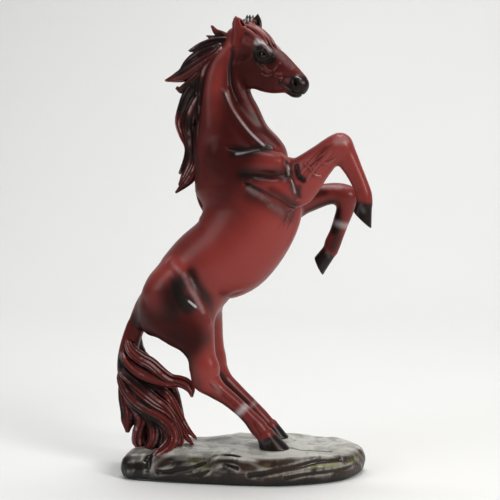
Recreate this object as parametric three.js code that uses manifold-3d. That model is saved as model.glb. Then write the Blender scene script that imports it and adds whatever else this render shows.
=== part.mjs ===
// A rearing horse on a rock base: a resin figurine cast in pieces that are pinned together.
// Millimetres. +X is the way the horse faces, +Y its left side, +Z up, and the origin is the
// middle of the underside of the pad that the base rests on.
import * as THREE from 'three';
import { mergeVertices } from 'three/addons/utils/BufferGeometryUtils.js';
import Module from 'manifold-3d';

const wasm = await Module();
wasm.setup();

// Driving sizes
const PAD_THICKNESS = 1.2;
const PAD_INSET = 4;
const JOINT_GAP = 0.3;
const SEAT_HEIGHT = 24.3;
const SEAT_RADIUS = 12;
const ROCK_ROUNDING = 13;
const FOOT_HEIGHT = 9;
const FOOT_TUCK = 0.03;
const ROCK_OVER_SEAT = 0.6;
const ROD_DIAMETER = 3;
const NUT_HEIGHT = 2.4;
const NUT_WIDTH = 5.5;
const WASHER_DIAMETER = 9;
const WASHER_THICKNESS = 0.8;
const POCKET_DEPTH = 6;
const POCKET_CLEARANCE = 1.5;
const ROD_TAIL = 0.7;
const ROD_REACH = 20;
const ROD_LEAN = 0.17;
const FORELEG_DOWEL_DIAMETER = 4;
const FORELEG_DOWEL_LENGTH = 16;
const NECK_DOWEL_DIAMETER = 5;
const NECK_DOWEL_LENGTH = 24;
const TAIL_PIN_DIAMETER = 3;
const TAIL_PIN_LENGTH = 20;
const MANE_PIN_DIAMETER = 2.4;
const MANE_PIN_LENGTH = 12;
const EYE_RADIUS = 4.3;
const EYE_DEPTH = 3.8;
const HOOF_FLARE = 1.16;
const HOOF_NARROWING = 0.9;
const HORN_BELOW_SOLE = 0.6;
const GROWTH = 0.54;

// The sculptor's stations are measured over a seat of this height, and move with the seat
const SOLE_LEVEL = 24.6;
const LIFT = SEAT_HEIGHT + JOINT_GAP - SOLE_LEVEL;

// Limbs: each station is x, y, z, half thickness in the plane of the limb, half width across
const TRUNK = [
  [14, 0, 244, 19, 17], [12.5, 0, 229, 29, 22], [10, 0, 204, 34.5, 26], [-8, 0, 174, 34.5, 28],
  [-29, 0, 159, 30.2, 28.5], [-43, 0, 143.5, 29.2, 28.5], [-56, 0, 133.5, 25, 26],
  [-66, 0, 126.5, 17, 19],
];
const NECK = [
  [-2, 0, 226, 36, 24], [-5.7, 0, 241, 33, 21.5], [-9.5, 0, 256, 30.5, 19], [-11.8, 0, 272.5, 25.5, 16],
  [-14, 0, 288, 20.5, 13.5], [-14, 0, 304, 17, 12], [-10, 0, 316, 14, 11], [-3.5, 0, 324, 11, 10.5],
];
const HAUNCH = [
  [-51.5, 14, 143, 24, 15], [-46.5, 15, 128.5, 26.5, 16], [-37.2, 16, 112.6, 19, 14],
  [-30.5, 16.5, 97.2, 11.9, 10.5], [-27, 17, 84, 9.6, 8.5], [-26, 17, 75, 9.4, 7.5],
];
const BUTTOCK = [
  [-69, 8, 115.5, 8.6, 8], [-60, 10, 116, 11, 10], [-50, 13, 114, 13, 12],
];
const DOCK = [
  [-58, 0, 132, 15, 14], [-70, 0, 127, 11.5, 10.5], [-78.6, 0, 120.5, 9, 8.5], [-83.4, 0, 112.5, 7.5, 7.4],
  [-84.4, 0, 109, 5.5, 5.5],
];
const SCAPULA = [
  [-14, 13, 247, 9, 8], [-4, 15, 242, 12, 8], [6, 16, 236, 14, 8],
];
const UPPER_ARM = [
  [-4, 15, 240, 7, 6], [9, 18, 240.5, 8.5, 7.5], [23, 19, 239.5, 8.6, 7.5], [35, 17, 236.5, 8, 6.5],
];
const RIGHT_TRICEPS = [
  [4, -17, 228, 5, 4], [14, -19.5, 225, 7.5, 6.5], [27, -20, 221, 9, 7], [38, -17, 215, 9, 6.5],
];
const LEFT_TRICEPS = [
  [4, 17, 226, 5, 4], [14, 19, 219, 7.5, 6.5], [26, 19.5, 209, 8.5, 7], [35, 18, 203, 8, 6.5],
];
const RIGHT_FOREARM = [
  [30, -13, 222, 15, 9], [40, -16, 224.5, 17.8, 10.5], [47.5, -18, 229.5, 16, 10.5],
  [55.5, -19.5, 237, 13, 10], [63, -20, 244, 11, 9.2], [69.5, -20, 250, 9.6, 8.8], [75, -20, 253, 9, 8.3],
];
const RIGHT_FORE_CANNON = [
  [74.5, -20, 252.5, 9.4, 8.2], [79.5, -20, 245, 8.3, 7.2], [85.2, -20, 235, 6.6, 6.1],
  [90, -20, 225, 5.9, 5.7], [92.6, -20, 217, 6.1, 6], [93.4, -20, 211, 5.7, 5.6],
];
const LEFT_FOREARM = [
  [12, 16, 214, 16, 11], [32, 18, 208, 13, 11], [46, 18, 210.5, 10, 9.5], [60, 18, 214.5, 8.4, 8.3],
  [70, 18, 215.5, 8, 8], [76, 18, 213.5, 8.2, 7.8],
];
const LEFT_FORE_CANNON = [
  [75.7, 18, 213, 8.4, 7.7], [75.3, 18, 204, 6.9, 6.6], [72.5, 18, 195, 6.1, 5.9],
  [69, 18, 185, 5.8, 5.7], [66, 18, 177.5, 6.2, 5.9], [64.5, 18, 172.5, 5.7, 5.4],
];
const RIGHT_HIND = [
  [-27, -17, 84, 10.5, 8], [-25.5, -17, 75, 9.3, 7.4], [-18.5, -17, 68.5, 7.6, 6.6],
  [-9.5, -17, 62.3, 6.2, 5.9], [0.5, -17, 54.3, 5.6, 5.5], [8, -17, 47.2, 5.7, 5.6],
  [14, -17, 40.5, 6.7, 6.2], [19.5, -17, 33.7, 6, 5.8],
];
const LEFT_HIND = [
  [-29.5, 17, 84, 10, 8], [-26.5, 17, 75.2, 9, 7.4], [-19.5, 17, 68.5, 7.4, 6.6],
  [-7.5, 17, 58.2, 5.9, 5.7], [3, 17, 48.5, 5.5, 5.4], [11, 17, 39.2, 6.4, 6.1], [18, 17, 31.5, 5.8, 5.7],
];

// The head in its own frame: along the face, to the left, towards the forehead
const HEAD_PLACE = new THREE.Vector3(-2, 0, 328 + LIFT);
const HEAD_TURN = THREE.MathUtils.degToRad(18);
const HEAD_PITCH = THREE.MathUtils.degToRad(39);
const FACE = [
  [-4, 0, 0, 10, 9.4], [5, 0, 3.6, 12.2, 10.6], [14, 0, 6.5, 11.8, 11], [23, 0, 6.8, 9.3, 10.2],
  [33, 0, 7.8, 9, 7.6], [44, 0, 7.6, 8.4, 6], [53.5, 0, 7, 7.8, 6], [58.2, 0, 6.2, 6.6, 5.6],
];
const JOWL = [
  [17, 6.2, -5, 15, 4.2], [22, 5.6, -9, 12.5, 3.8],
];
const CHEEK = [
  [20, 6.5, 2, 9, 3.6], [30, 5.2, 0, 9, 3.4], [42, 3.6, 1.5, 6.5, 2.8],
];
const JAW = [
  [20, 0, -10, 9, 6.5], [30, 0, -10.5, 8, 6], [40, 0, -7.2, 6.4, 4.8], [49, 0, -1.6, 4.9, 4.4],
  [55.5, 0, -0.2, 4, 4.4],
];
const BROW = [
  [19, 8.6, 12.5, 2.4, 2.2], [24, 9.6, 12.3, 2.6, 2.2], [28.5, 8.4, 10.5, 2, 1.8],
];
const EYE = [24.2, 7.4, 7.9];
const RIGHT_EAR = [
  [-3, -8, 325, 3.4, 3.2], [-2.6, -8.6, 331, 4, 3.2], [-1.8, -9, 336, 4.8, 2.8],
  [-1.8, -9.2, 339.8, 5, 2.4], [-2.9, -9, 343.4, 4.2, 2], [-3.8, -8.8, 345.8, 2.3, 1.3],
  [-4.1, -8.6, 347, 0.8, 0.7],
];
const LEFT_EAR = [
  [7, 5, 330, 3.8, 3.6], [7.6, 6.2, 335.5, 4.4, 3.4], [8.2, 7, 340.5, 4.6, 3], [8.8, 7.6, 344.5, 3.8, 2.4],
  [9.3, 8, 347.4, 2.4, 1.8], [9.5, 8, 349.9, 1.2, 1.1],
];
const RIGHT_EAR_CUP = [
  [2.6, -9.6, 333, 0.8, 1], [2.4, -9.8, 338, 1.5, 1.4], [-0.2, -9.6, 343.5, 0.9, 0.9],
];
const LEFT_EAR_CUP = [
  [8.8, 3.6, 334.5, 1.5, 1.6], [9.4, 4, 340.4, 2.4, 1.8], [9.6, 5.2, 345.4, 1.2, 1.2],
];
const FORELOCK_TUFT = [
  [3.4, 0, 332, 4.6, 3.4], [3.8, 1.4, 340.5, 4.6, 3], [4.2, 2.4, 345.4, 3.6, 2], [4.4, 2.8, 348, 1.4, 1],
];

// The left arm hangs lower than the right: it drops this much for each millimetre forward of the withers
const ARM_DROP = 0.55;
const WITHERS_X = -4;

// Creases and ridges as if pressed with a finger: the line, its half width and its depth
const ARM_CREASES = [
  { line: [[-8, 20, 250.5], [9, 22, 251], [28, 22, 251], [42, 20, 248.5]], width: 2.6, depth: 2 },
  { line: [[-2, 24, 232.8], [13.5, 26, 232.2], [28, 26, 233.5], [42, 22, 233]], width: 2.4, depth: 1.6 },
  { line: [[6, 26, 222.5], [19, 26, 215], [32, 25, 208], [43, 20, 202]], width: 3, depth: 1.6 },
];
const NECK_CREASES = [
  {
    line: [[-7, 10, 310], [-5.5, 11, 297], [5, 14.5, 274], [13, 15, 266.5], [32, 10, 254]],
    width: 2.6,
    depth: 2.4,
  },
  {
    line: [[-11, 13, 296], [-9, 13.5, 286], [5, 18, 264.5], [15, 19, 257.8], [42, 15, 246]],
    width: 3.2,
    depth: -1.8,
  },
];

// Locks of the mane, swept back from the crest
const MANE_LOCKS = [
  [
    [-9, -1, 330, 3.2, 3.2], [-14, -1, 333, 3.2, 2.8], [-18, -1, 335, 2.8, 2.4], [-21, -1, 337, 2, 1.8],
    [-23.2, -1, 340.2, 0.6, 0.6],
  ],
  [
    [-14, -2, 330, 2.8, 2.6], [-21, -2, 331.4, 2.4, 2], [-26.2, -2, 333, 0.6, 0.6],
  ],
  [
    [-9, -2, 329, 4, 4], [-19, -2, 329, 4.3, 4.2], [-28, -2, 327, 3.8, 4], [-34.6, -2, 324.6, 3, 2.8],
    [-40.2, -2, 322.6, 0.8, 0.8],
  ],
  [
    [-16, -3, 325, 4.5, 4.5], [-29, -3, 321, 4.2, 4.2], [-37.5, -3, 316.5, 3.8, 3.8],
    [-43.5, -3, 312, 2.6, 2.6], [-48, -2, 308, 0.8, 0.8],
  ],
  [
    [-18, -4, 321, 5, 4.5], [-31, -4, 313, 6.2, 4.6], [-42.5, -3, 306, 5.4, 4.2], [-51, -3, 302.6, 3.4, 3],
    [-58.5, -2, 300.5, 0.8, 0.8],
  ],
  [
    [-29, -4, 308, 4.4, 4.4], [-36, -4, 301, 4.2, 4], [-42.5, -3, 296.5, 3.4, 3],
    [-47.5, -2, 293.5, 2.6, 2.4], [-50.5, -1, 295, 1.3, 1.2],
  ],
  [
    [-30, -2, 303, 5, 4.6], [-40, -2, 291.5, 5.2, 4.6], [-45, -2, 280.5, 5, 4], [-49, -2, 269, 3.3, 3],
    [-46, -2, 259, 2.9, 2.8], [-42.5, -2, 251, 2.5, 2.5], [-43.5, -2, 242, 2.3, 2.3],
    [-48.5, -2, 231.5, 0.8, 0.8],
  ],
  [
    [-29, -4, 292, 4.5, 4.5], [-37, -4, 280.5, 4.6, 4.4], [-41, -4, 268, 4.8, 4.2],
    [-39.5, -4, 257.5, 4.5, 4], [-38.5, -4, 246.5, 3.8, 3.6], [-41, -3, 237.5, 3.4, 3.2],
    [-45, -3, 228.5, 2.7, 2.6], [-49, -2, 222, 0.8, 0.8],
  ],
  [
    [-29, -3, 275, 4.2, 4.4], [-34, -4, 261, 3.6, 3.8], [-34, -5, 248, 3.6, 3.8], [-35, -4, 237.5, 4, 3.8],
    [-39.5, -4, 228.5, 4.2, 3.4], [-45.5, -3, 222, 2.8, 2.4], [-51, -2, 217, 0.8, 0.8],
  ],
  [
    [-28, -4, 256, 3.8, 4], [-31, -4, 242, 3, 3.4], [-32.5, -4, 233, 2.6, 2.8], [-34, -4, 223.5, 2.2, 2.4],
    [-34, -3, 216, 1.9, 2.2], [-32, -3, 208, 1.6, 1.8], [-29.5, -3, 202, 0.6, 0.6],
  ],
  [
    [-16, -4, 324, 4.5, 4.5], [-27, -4, 312, 4.8, 4.8], [-31, -4, 298, 4.8, 4.8], [-32, -4, 282, 4.6, 4.8],
    [-31, -4, 265, 4.4, 4.6], [-29.5, -4, 248, 4, 4.2], [-29, -3, 232, 2.4, 3],
  ],
  [
    [-12, 3, 326, 4.5, 4.5], [-26, 4, 318, 4.8, 4.2], [-38, 4, 309, 4.4, 3.6], [-48, 3, 303, 0.8, 0.8],
  ],
  [
    [-26, 3, 306, 4.8, 4.4], [-36, 4, 294, 4.8, 4], [-43, 4, 283, 4, 3.4], [-46, 3, 272, 0.8, 0.8],
  ],
  [
    [-29, 3, 288, 4.6, 4.4], [-36, 4, 274, 4.6, 4], [-40, 4, 260, 3.8, 3.4], [-42, 3, 248, 0.8, 0.8],
  ],
  [
    [-28, 3, 266, 4.4, 4.4], [-32, 4, 252, 4.2, 4], [-36, 4, 238, 3.8, 3.4], [-43, 3, 226, 0.8, 0.8],
  ],
];

// The tail's solid heart, then its locks on the right side and on the left
const TAIL_HEART = [
  [-77, 0, 122.5, 7.4, 7.4], [-83.4, 0, 114, 7.4, 7.4], [-87.2, 0, 105.5, 7.2, 7.4],
  [-90.2, 0, 95.5, 7.4, 8], [-92, 0, 85, 7.8, 9], [-91, 0, 75, 8.6, 10.2], [-88, 0, 64, 9.8, 11.2],
  [-83.5, 0, 52.5, 11, 11.8], [-77.5, 0, 41, 11.6, 12], [-73.5, 0, 31, 11, 11.4], [-72.5, 0, 22, 9.4, 9.6],
];
// What fills the tail between its first locks
const TAIL_WEBS = [
  [
    [-89, -3, 96, 4, 4], [-80, -7, 86, 5.4, 4], [-70, -9, 79.5, 5.4, 4], [-61, -11, 75, 4.4, 3.6],
    [-53, -13, 72.5, 3, 2.6],
  ],
  [
    [-88, -5, 80, 5, 5], [-79, -8, 72, 5.5, 5], [-70, -10, 67, 5, 4.5], [-63, -11, 66, 3.6, 3.6],
    [-59.5, -12, 66.5, 2, 2],
  ],
];
const TAIL_LOCKS = [
  [
    [-90.5, -4, 104, 1.4, 1.4], [-89, -6, 99, 3.4, 3.4], [-84.5, -9, 93, 4.4, 4.2],
    [-76.7, -11, 88.4, 4.6, 4.4], [-69.6, -12.5, 85.4, 4.5, 4.3], [-64, -13.5, 81.2, 4.4, 4.2],
    [-58.5, -14, 76.8, 4.4, 4.2], [-52.5, -15, 73.8, 4.4, 4.2], [-46, -15.5, 73, 4.5, 4.2],
    [-40.5, -17, 71.2, 4.4, 4], [-37.2, -17.5, 67, 3, 3], [-36.8, -17.5, 62.8, 0.8, 0.8],
  ],
  [
    [-94, -4, 95, 1.6, 1.6], [-93, -6, 90, 3.4, 3.4], [-88.5, -9, 83.5, 4.2, 4], [-81, -12, 78, 4.6, 4.2],
    [-71, -14, 74, 4.6, 4.2], [-61, -15, 71.8, 4, 3.8], [-53, -16, 71, 3, 2.8], [-47, -16.5, 70, 1.2, 1.2],
  ],
  [
    [-95.5, -4, 87, 1.6, 1.6], [-94.5, -7, 81, 3.2, 3.2], [-91, -10.5, 75.5, 4, 3.8],
    [-82.5, -13, 70, 4.3, 4], [-73.5, -15, 63.5, 4.3, 4], [-65, -16, 57.5, 4.2, 4],
    [-57.5, -16, 52.5, 4, 3.8], [-52, -16, 45.5, 3.6, 3.4], [-46.5, -15, 36.5, 3, 2.8],
    [-41.5, -14, 29, 2.2, 2.2], [-37.5, -13, 23.5, 0.8, 0.8],
  ],
  [
    [-68, -10, 66, 2, 2], [-62, -11.5, 64, 3.6, 3.8], [-57, -12, 60.5, 3.8, 3.8], [-52, -12, 53, 3.6, 3.4],
    [-47, -11, 43, 3.2, 3], [-41.5, -10, 34, 2.2, 2.2], [-36, -9, 28, 0.8, 0.8],
  ],
  [
    [-95, -5, 79, 1.6, 1.6], [-94.5, -8, 73, 3.6, 3.6], [-90.5, -11, 65, 4.4, 4.2],
    [-82, -15, 56.5, 4.8, 4.4], [-71, -17, 49.5, 4.8, 4.4], [-60.5, -19, 45, 4.8, 4.4],
    [-52.5, -21, 39, 4.8, 4.6], [-49.5, -23, 31, 4.9, 4.6], [-53, -25, 24.5, 4.4, 4.2],
    [-62, -27, 18.5, 1.8, 1.6],
  ],
  [
    [-95, -5, 84, 1.6, 1.6], [-93.5, -8, 77, 3.2, 3.2], [-88.5, -10, 69.5, 3.9, 3.8],
    [-78.5, -14, 61.5, 4.1, 4], [-67.5, -16, 54, 4.1, 4], [-57.5, -17, 48.5, 3.9, 3.8],
    [-52, -18, 42, 3.5, 3.4], [-47.8, -18, 34, 3.2, 3.2], [-46, -18, 26, 2.4, 2.4], [-48.5, -19, 21, 1, 1],
  ],
  [
    [-95, -2, 74, 1.6, 1.6], [-94.2, -4, 66, 3.8, 3.8], [-92.6, -6, 56, 4.8, 4.6],
    [-90.2, -8, 46.5, 5.2, 4.6], [-89.8, -8, 38.5, 5, 4.4], [-90, -8, 31, 2.2, 2.2],
  ],
  [
    [-92, -6, 66, 1.6, 1.6], [-88.5, -9, 57.5, 4.2, 4.2], [-81, -12, 49.5, 4.8, 4.4],
    [-76.5, -14, 41.5, 4.8, 4.6], [-79, -15, 32.5, 4.8, 4.6], [-80, -15, 24, 4.4, 4.2],
    [-77, -15, 18, 2, 2],
  ],
  [
    [-87, -8, 58, 1.6, 1.6], [-81, -11, 51.5, 4.2, 4.2], [-72, -14, 45, 4.6, 4.4], [-67, -16, 37, 5, 4.6],
    [-66.5, -17, 29, 4.9, 4.6], [-69.5, -17, 21.5, 4.4, 4.2], [-72, -17, 17, 2, 2],
  ],
  [
    [-77, -10, 54, 1.6, 1.6], [-71, -12.5, 48.5, 4.2, 4.2], [-62.5, -15, 40.5, 4.4, 4.2],
    [-58.5, -16, 32.5, 4.4, 4.2], [-59.5, -17, 25, 4, 4], [-63.5, -17, 19, 2, 2],
  ],
  [
    [-80, 5, 120, 6, 6], [-88, 10, 105, 5, 5], [-85, 14, 86, 5, 5], [-71, 15, 74, 5, 5],
    [-60, 13, 60, 4.6, 4.6], [-54, 9, 45, 3.8, 3.8], [-47, 5, 28, 1.4, 1.4],
  ],
  [
    [-87, 6, 108, 5, 5], [-94, 11, 92, 5, 5], [-89, 15, 72, 5.5, 5.5], [-77, 17, 56, 5.5, 5.5],
    [-65, 16, 42, 5, 5], [-58, 14, 30, 3.4, 3.4], [-54, 13, 22, 1.2, 1.2],
  ],
  [
    [-90, 6, 100, 5, 5], [-94.2, 9, 80, 5, 5], [-92, 12, 60, 6, 6], [-85, 14, 42, 6, 6],
    [-80, 14, 28, 5, 5], [-80, 14, 18, 2, 2],
  ],
];

// The base's outline seen from above
const BASE_OUTLINE = [
  [-90, -20], [-88, -35], [-65, -39.5], [-26, -41], [21, -39], [50, -31], [78, -14], [90, 6], [92, 24],
  [80, 36], [57, 43], [30, 42], [0, 34], [-30, 29], [-60, 20], [-82, 4],
];

// Where the castings part: a point of the cut and the way it faces, seen from the side
const NECK_CUT = { at: [-4, 0, 311], facing: [0.85, 0, 0.53] };
const FORELEG_CUT = { at: [45.5, 0, 224], facing: [0.98, 0, 0.19] };
const HIND_CUT_HEIGHT = 86;

// The middles of the hind soles on the base, and how far behind them the rods come up
const RIGHT_HIND_HOOF = [25.2, -17];
const LEFT_HIND_HOOF = [22.5, 17];
const ROD_SETBACK = 3;

// The rods inside the hind legs, from the pastern to the haunch
const RIGHT_ROD_PATH = [
  [19.5, -17, 33.5], [11.5, -17, 43.5], [0.5, -17, 54.2], [-12, -17, 64], [-22, -17, 72],
  [-27, -17, 82], [-31, -16.5, 94],
];
const LEFT_ROD_PATH = [
  [17, 17, 32], [9, 17, 41.8], [-2, 17, 53.2], [-14, 17, 63.6], [-23, 17, 72],
  [-28, 17, 82], [-31.5, 16.5, 94],
];
const FORELEG_DOWEL_PLACES = { right: [45, -18, 227], left: [47.5, 18, 211] };
const TAIL_PIN_PLACE = { at: [-84.6, 0, 108], along: [-0.45, 0, -0.893] };
const TAIL_FOOT_PIN_PLACE = [-70, 0, 24];
const MANE_PIN_PLACES = { upper: [-29, -2, 300], lower: [-34.5, -2.5, 243] };

// A distance that stands for far away, and the smallest one that is told from nothing
const FAR = 1e3;
const TINY = 1e-9;

// A smooth curve through stations
function smoothRun(stations, steps) {
  const count = stations.length;
  const before = stations[0].map((v, i) => 2 * v - stations[1][i]);
  const after = stations[count - 1].map((v, i) => 2 * v - stations[count - 2][i]);
  const all = [before, ...stations, after];
  const run = [];
  for (let k = 1; k < count; k++) {
    const [a, b, c, d] = all.slice(k - 1, k + 3);
    for (let j = 0; j < steps; j++) {
      const t = j / steps;
      run.push(b.map((v, i) => 0.5 * (2 * v + (c[i] - a[i]) * t + (2 * a[i] - 5 * v + 4 * c[i] - d[i]) * t * t
        + (3 * v - a[i] - 3 * c[i] + d[i]) * t * t * t)));
    }
  }
  run.push(stations[count - 1]);
  return run;
}

const raised = (stations) => stations.map(([x, y, z, ...rest]) => [x, y, z + LIFT, ...rest]);

// A field is a function of x, y, z: negative inside the shape, positive outside, in millimetres.
// A limb is a sweep of oval sections whose cutting planes are mitred from node to node.
function limb(stations, steps = 4) {
  const run = smoothRun(stations, steps);
  const nodes = run.map(([x, y, z, thick, wide]) => ({ c: new THREE.Vector3(x, y, z), thick, wide }));
  const heads = nodes.slice(1).map((node, i) => node.c.clone().sub(nodes[i].c).normalize());
  nodes.forEach((node, i) => {
    const tangent = (heads[i - 1] ?? heads[i]).clone().add(heads[i] ?? heads[i - 1]).normalize();
    const side = new THREE.Vector3(0, 1, 0).addScaledVector(tangent, -tangent.y).normalize();
    Object.assign(node, { tangent, side, normal: new THREE.Vector3().crossVectors(tangent, side) });
  });
  const reach = Math.max(...nodes.map((node) => Math.max(node.thick, node.wide))) + 14;
  const box = new THREE.Box3().setFromPoints(nodes.map((node) => node.c)).expandByScalar(reach);
  const { min, max } = box;
  const last = nodes.length - 2;
  const along = (node, x, y, z) => (x - node.c.x) * node.tangent.x + (y - node.c.y) * node.tangent.y
    + (z - node.c.z) * node.tangent.z;
  return (x, y, z) => {
    if (x < min.x || y < min.y || z < min.z || x > max.x || y > max.y || z > max.z) return FAR;
    let best = FAR;
    let g1 = along(nodes[0], x, y, z);
    for (let k = 0; k <= last; k++) {
      const a = nodes[k];
      const b = nodes[k + 1];
      const g0 = g1;
      g1 = along(b, x, y, z);
      const before = g0 < 0;
      const after = g1 > 0;
      if ((before && k > 0) || (after && k < last)) continue;
      const f = before ? 0 : after ? 1 : g0 / Math.max(g0 - g1, TINY);
      const h = 1 - f;
      const thick = a.thick * h + b.thick * f;
      const wide = a.wide * h + b.wide * f;
      const vx = x - a.c.x * h - b.c.x * f;
      const vy = y - a.c.y * h - b.c.y * f;
      const vz = z - a.c.z * h - b.c.z * f;
      const n = (vx * (a.normal.x * h + b.normal.x * f) + vy * (a.normal.y * h + b.normal.y * f)
        + vz * (a.normal.z * h + b.normal.z * f)) / thick;
      const s = (vx * (a.side.x * h + b.side.x * f) + vy * (a.side.y * h + b.side.y * f)
        + vz * (a.side.z * h + b.side.z * f)) / wide;
      const end = Math.min(thick, wide);
      const e = (before ? g0 : after ? g1 : 0) / end;
      const m = Math.sqrt(n * n + s * s + e * e) + TINY;
      const slope = Math.sqrt((n / thick) ** 2 + (s / wide) ** 2 + (e / end) ** 2) + TINY;
      best = Math.min(best, (m - 1) * m / slope);
    }
    return best;
  };
}

// An oval lump, tipped about the side axis by an angle in degrees
function lump([cx, cy, cz], [rx, ry, rz], tip = 0) {
  const cos = Math.cos(THREE.MathUtils.degToRad(tip));
  const sin = Math.sin(THREE.MathUtils.degToRad(tip));
  return (x, y, z) => {
    const u = ((x - cx) * cos + (z - cz) * sin) / rx;
    const v = (y - cy) / ry;
    const w = ((z - cz) * cos - (x - cx) * sin) / rz;
    const m = Math.sqrt(u * u + v * v + w * w) + TINY;
    return (m - 1) * m / (Math.sqrt((u / rx) ** 2 + (v / ry) ** 2 + (w / rz) ** 2) + TINY);
  };
}

function blend(a, b, radius) {
  const h = Math.max(radius - Math.abs(a - b), 0) / radius;
  return Math.min(a, b) - h * h * radius / 4;
}

const carve = (a, b, radius) => -blend(-a, b, radius);

// How deep a crease is at a point: a soft trench along a smooth line
function crease({ line, width, depth }) {
  const run = smoothRun(line, 4);
  const { min, max } = new THREE.Box3()
    .setFromPoints(run.map((point) => new THREE.Vector3(...point)))
    .expandByScalar(3 * width);
  return (x, y, z) => {
    if (x < min.x || y < min.y || z < min.z || x > max.x || y > max.y || z > max.z) return 0;
    let best = Infinity;
    for (let k = 0; k < run.length - 1; k++) {
      const [ax, ay, az] = run[k];
      const [dx, dy, dz] = [run[k + 1][0] - ax, run[k + 1][1] - ay, run[k + 1][2] - az];
      const along = ((x - ax) * dx + (y - ay) * dy + (z - az) * dz) / (dx * dx + dy * dy + dz * dz);
      const t = THREE.MathUtils.clamp(along, 0, 1);
      best = Math.min(best, (x - ax - t * dx) ** 2 + (y - ay - t * dy) ** 2 + (z - az - t * dz) ** 2);
    }
    return best > 9 * width * width ? 0 : depth * Math.exp(-best / (width * width));
  };
}

// A hoof: a flared stub cut flat by its sole
function hoof({ crown, sole, facing, crownRadius, soleRadius }) {
  const toSole = sole.map((v, i) => v - crown[i]);
  const low = sole.map((v, i) => v + HORN_BELOW_SOLE * toSole[i]);
  const lowRadius = HOOF_FLARE * soleRadius;
  const stub = limb([
    [...crown, crownRadius, crownRadius],
    [...sole, soleRadius, HOOF_NARROWING * soleRadius],
    [...low, lowRadius, HOOF_NARROWING * lowRadius],
  ]);
  const out = new THREE.Vector3(...facing).normalize();
  const face = (x, y, z) => (x - sole[0]) * out.x + (y - sole[1]) * out.y + (z - sole[2]) * out.z;
  return (x, y, z) => carve(stub(x, y, z), -face(x, y, z), 0.8);
}

// The horse's whole surface, as one blended field
const raisedLimb = (stations) => limb(raised(stations));
const trunk = raisedLimb(TRUNK);
const neck = raisedLimb(NECK);
const haunch = raisedLimb(HAUNCH);
const buttock = raisedLimb(BUTTOCK);
const dock = raisedLimb(DOCK);
const scapula = raisedLimb(SCAPULA);
const upperArm = raisedLimb(UPPER_ARM);
const rightTriceps = raisedLimb(RIGHT_TRICEPS);
const leftTriceps = raisedLimb(LEFT_TRICEPS);
const rightForearm = raisedLimb(RIGHT_FOREARM);
const rightForeCannon = raisedLimb(RIGHT_FORE_CANNON);
const leftForearm = raisedLimb(LEFT_FOREARM);
const leftForeCannon = raisedLimb(LEFT_FORE_CANNON);
const rightHindShank = raisedLimb(RIGHT_HIND);
const leftHindShank = raisedLimb(LEFT_HIND);
const rightEar = raisedLimb(RIGHT_EAR);
const leftEar = raisedLimb(LEFT_EAR);
const rightEarCup = raisedLimb(RIGHT_EAR_CUP);
const leftEarCup = raisedLimb(LEFT_EAR_CUP);
const tuft = raisedLimb(FORELOCK_TUFT);
const breast = lump([17, 7, 228 + LIFT], [12, 11, 15], -20);
const raisedCrease = ({ line, ...rest }) => crease({ line: raised(line), ...rest });
const armCreases = ARM_CREASES.map(raisedCrease);
const neckCreases = NECK_CREASES.map(raisedCrease);
const hooves = {
  rightFore: hoof({
    crown: [93.4, -20, 212.5 + LIFT],
    sole: [91.3, -20, 199.4 + LIFT],
    facing: [-0.68, 0, -0.735],
    crownRadius: 5.6,
    soleRadius: 7.4,
  }),
  leftFore: hoof({
    crown: [64.2, 18, 172.4 + LIFT],
    sole: [55, 18, 159.6 + LIFT],
    facing: [-0.9, 0, -0.44],
    crownRadius: 5.6,
    soleRadius: 6.6,
  }),
  rightHind: hoof({
    crown: [20.2, -17, 34 + LIFT],
    sole: [...RIGHT_HIND_HOOF, SOLE_LEVEL + LIFT],
    facing: [0, 0, -1],
    crownRadius: 6.8,
    soleRadius: 10.4,
  }),
  leftHind: hoof({
    crown: [18.5, 17, 32.5 + LIFT],
    sole: [...LEFT_HIND_HOOF, SOLE_LEVEL + LIFT],
    facing: [0, 0, -1],
    crownRadius: 6.2,
    soleRadius: 8.2,
  }),
};
const face = limb(FACE);
const jowl = limb(JOWL);
const jowlCorner = lump([25, 4.4, -13.5], [6.5, 3.8, 8], 0);
const cheek = limb(CHEEK);
const jaw = limb(JAW);
const brow = limb(BROW);
const muzzle = lump([58.3, 0, 5.6], [5.2, 6.1, 7.2], 10);
const nostrilRim = lump([55.5, 4.2, 8.2], [4.2, 2.8, 3.8], -20);
const nostril = lump([56.6, 6.6, 7.6], [2.6, 2.2, 1.7], -35);
const socket = lump([24.4, 12.6, 8.1], [4, 3.4, 2.3], 18);
const mouth = crease({
  line: [[47, 6, 0.2], [52, 5.6, 1.2], [58, 5.4, 1.8], [63, 2.5, 2.2], [64, 0, 2.4]],
  width: 0.9,
  depth: 0.9,
});
const headFrame = new THREE.Matrix4()
  .makeRotationZ(-HEAD_TURN)
  .multiply(new THREE.Matrix4().makeRotationY(HEAD_PITCH))
  .setPosition(HEAD_PLACE);
const intoHead = headFrame.clone().invert().elements;

function skull(x, y, z) {
  const m = intoHead;
  const h = m[0] * x + m[4] * y + m[8] * z + m[12];
  const s = m[1] * x + m[5] * y + m[9] * z + m[13];
  const u = m[2] * x + m[6] * y + m[10] * z + m[14];
  const w = Math.abs(s);
  let d = blend(face(h, s, u), jaw(h, s, u), 5);
  d = blend(d, jowl(h, w, u), 4);
  d = blend(d, jowlCorner(h, w, u), 4);
  d = blend(d, cheek(h, w, u), 5);
  d = blend(d, brow(h, w, u), 2.5);
  d = blend(d, muzzle(h, s, u), 4);
  d = blend(d, nostrilRim(h, w, u), 2);
  d = carve(d, nostril(h, w, u), 1);
  d = carve(d, socket(h, w, u), 1.5);
  return d + mouth(h, w, u);
}

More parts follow.
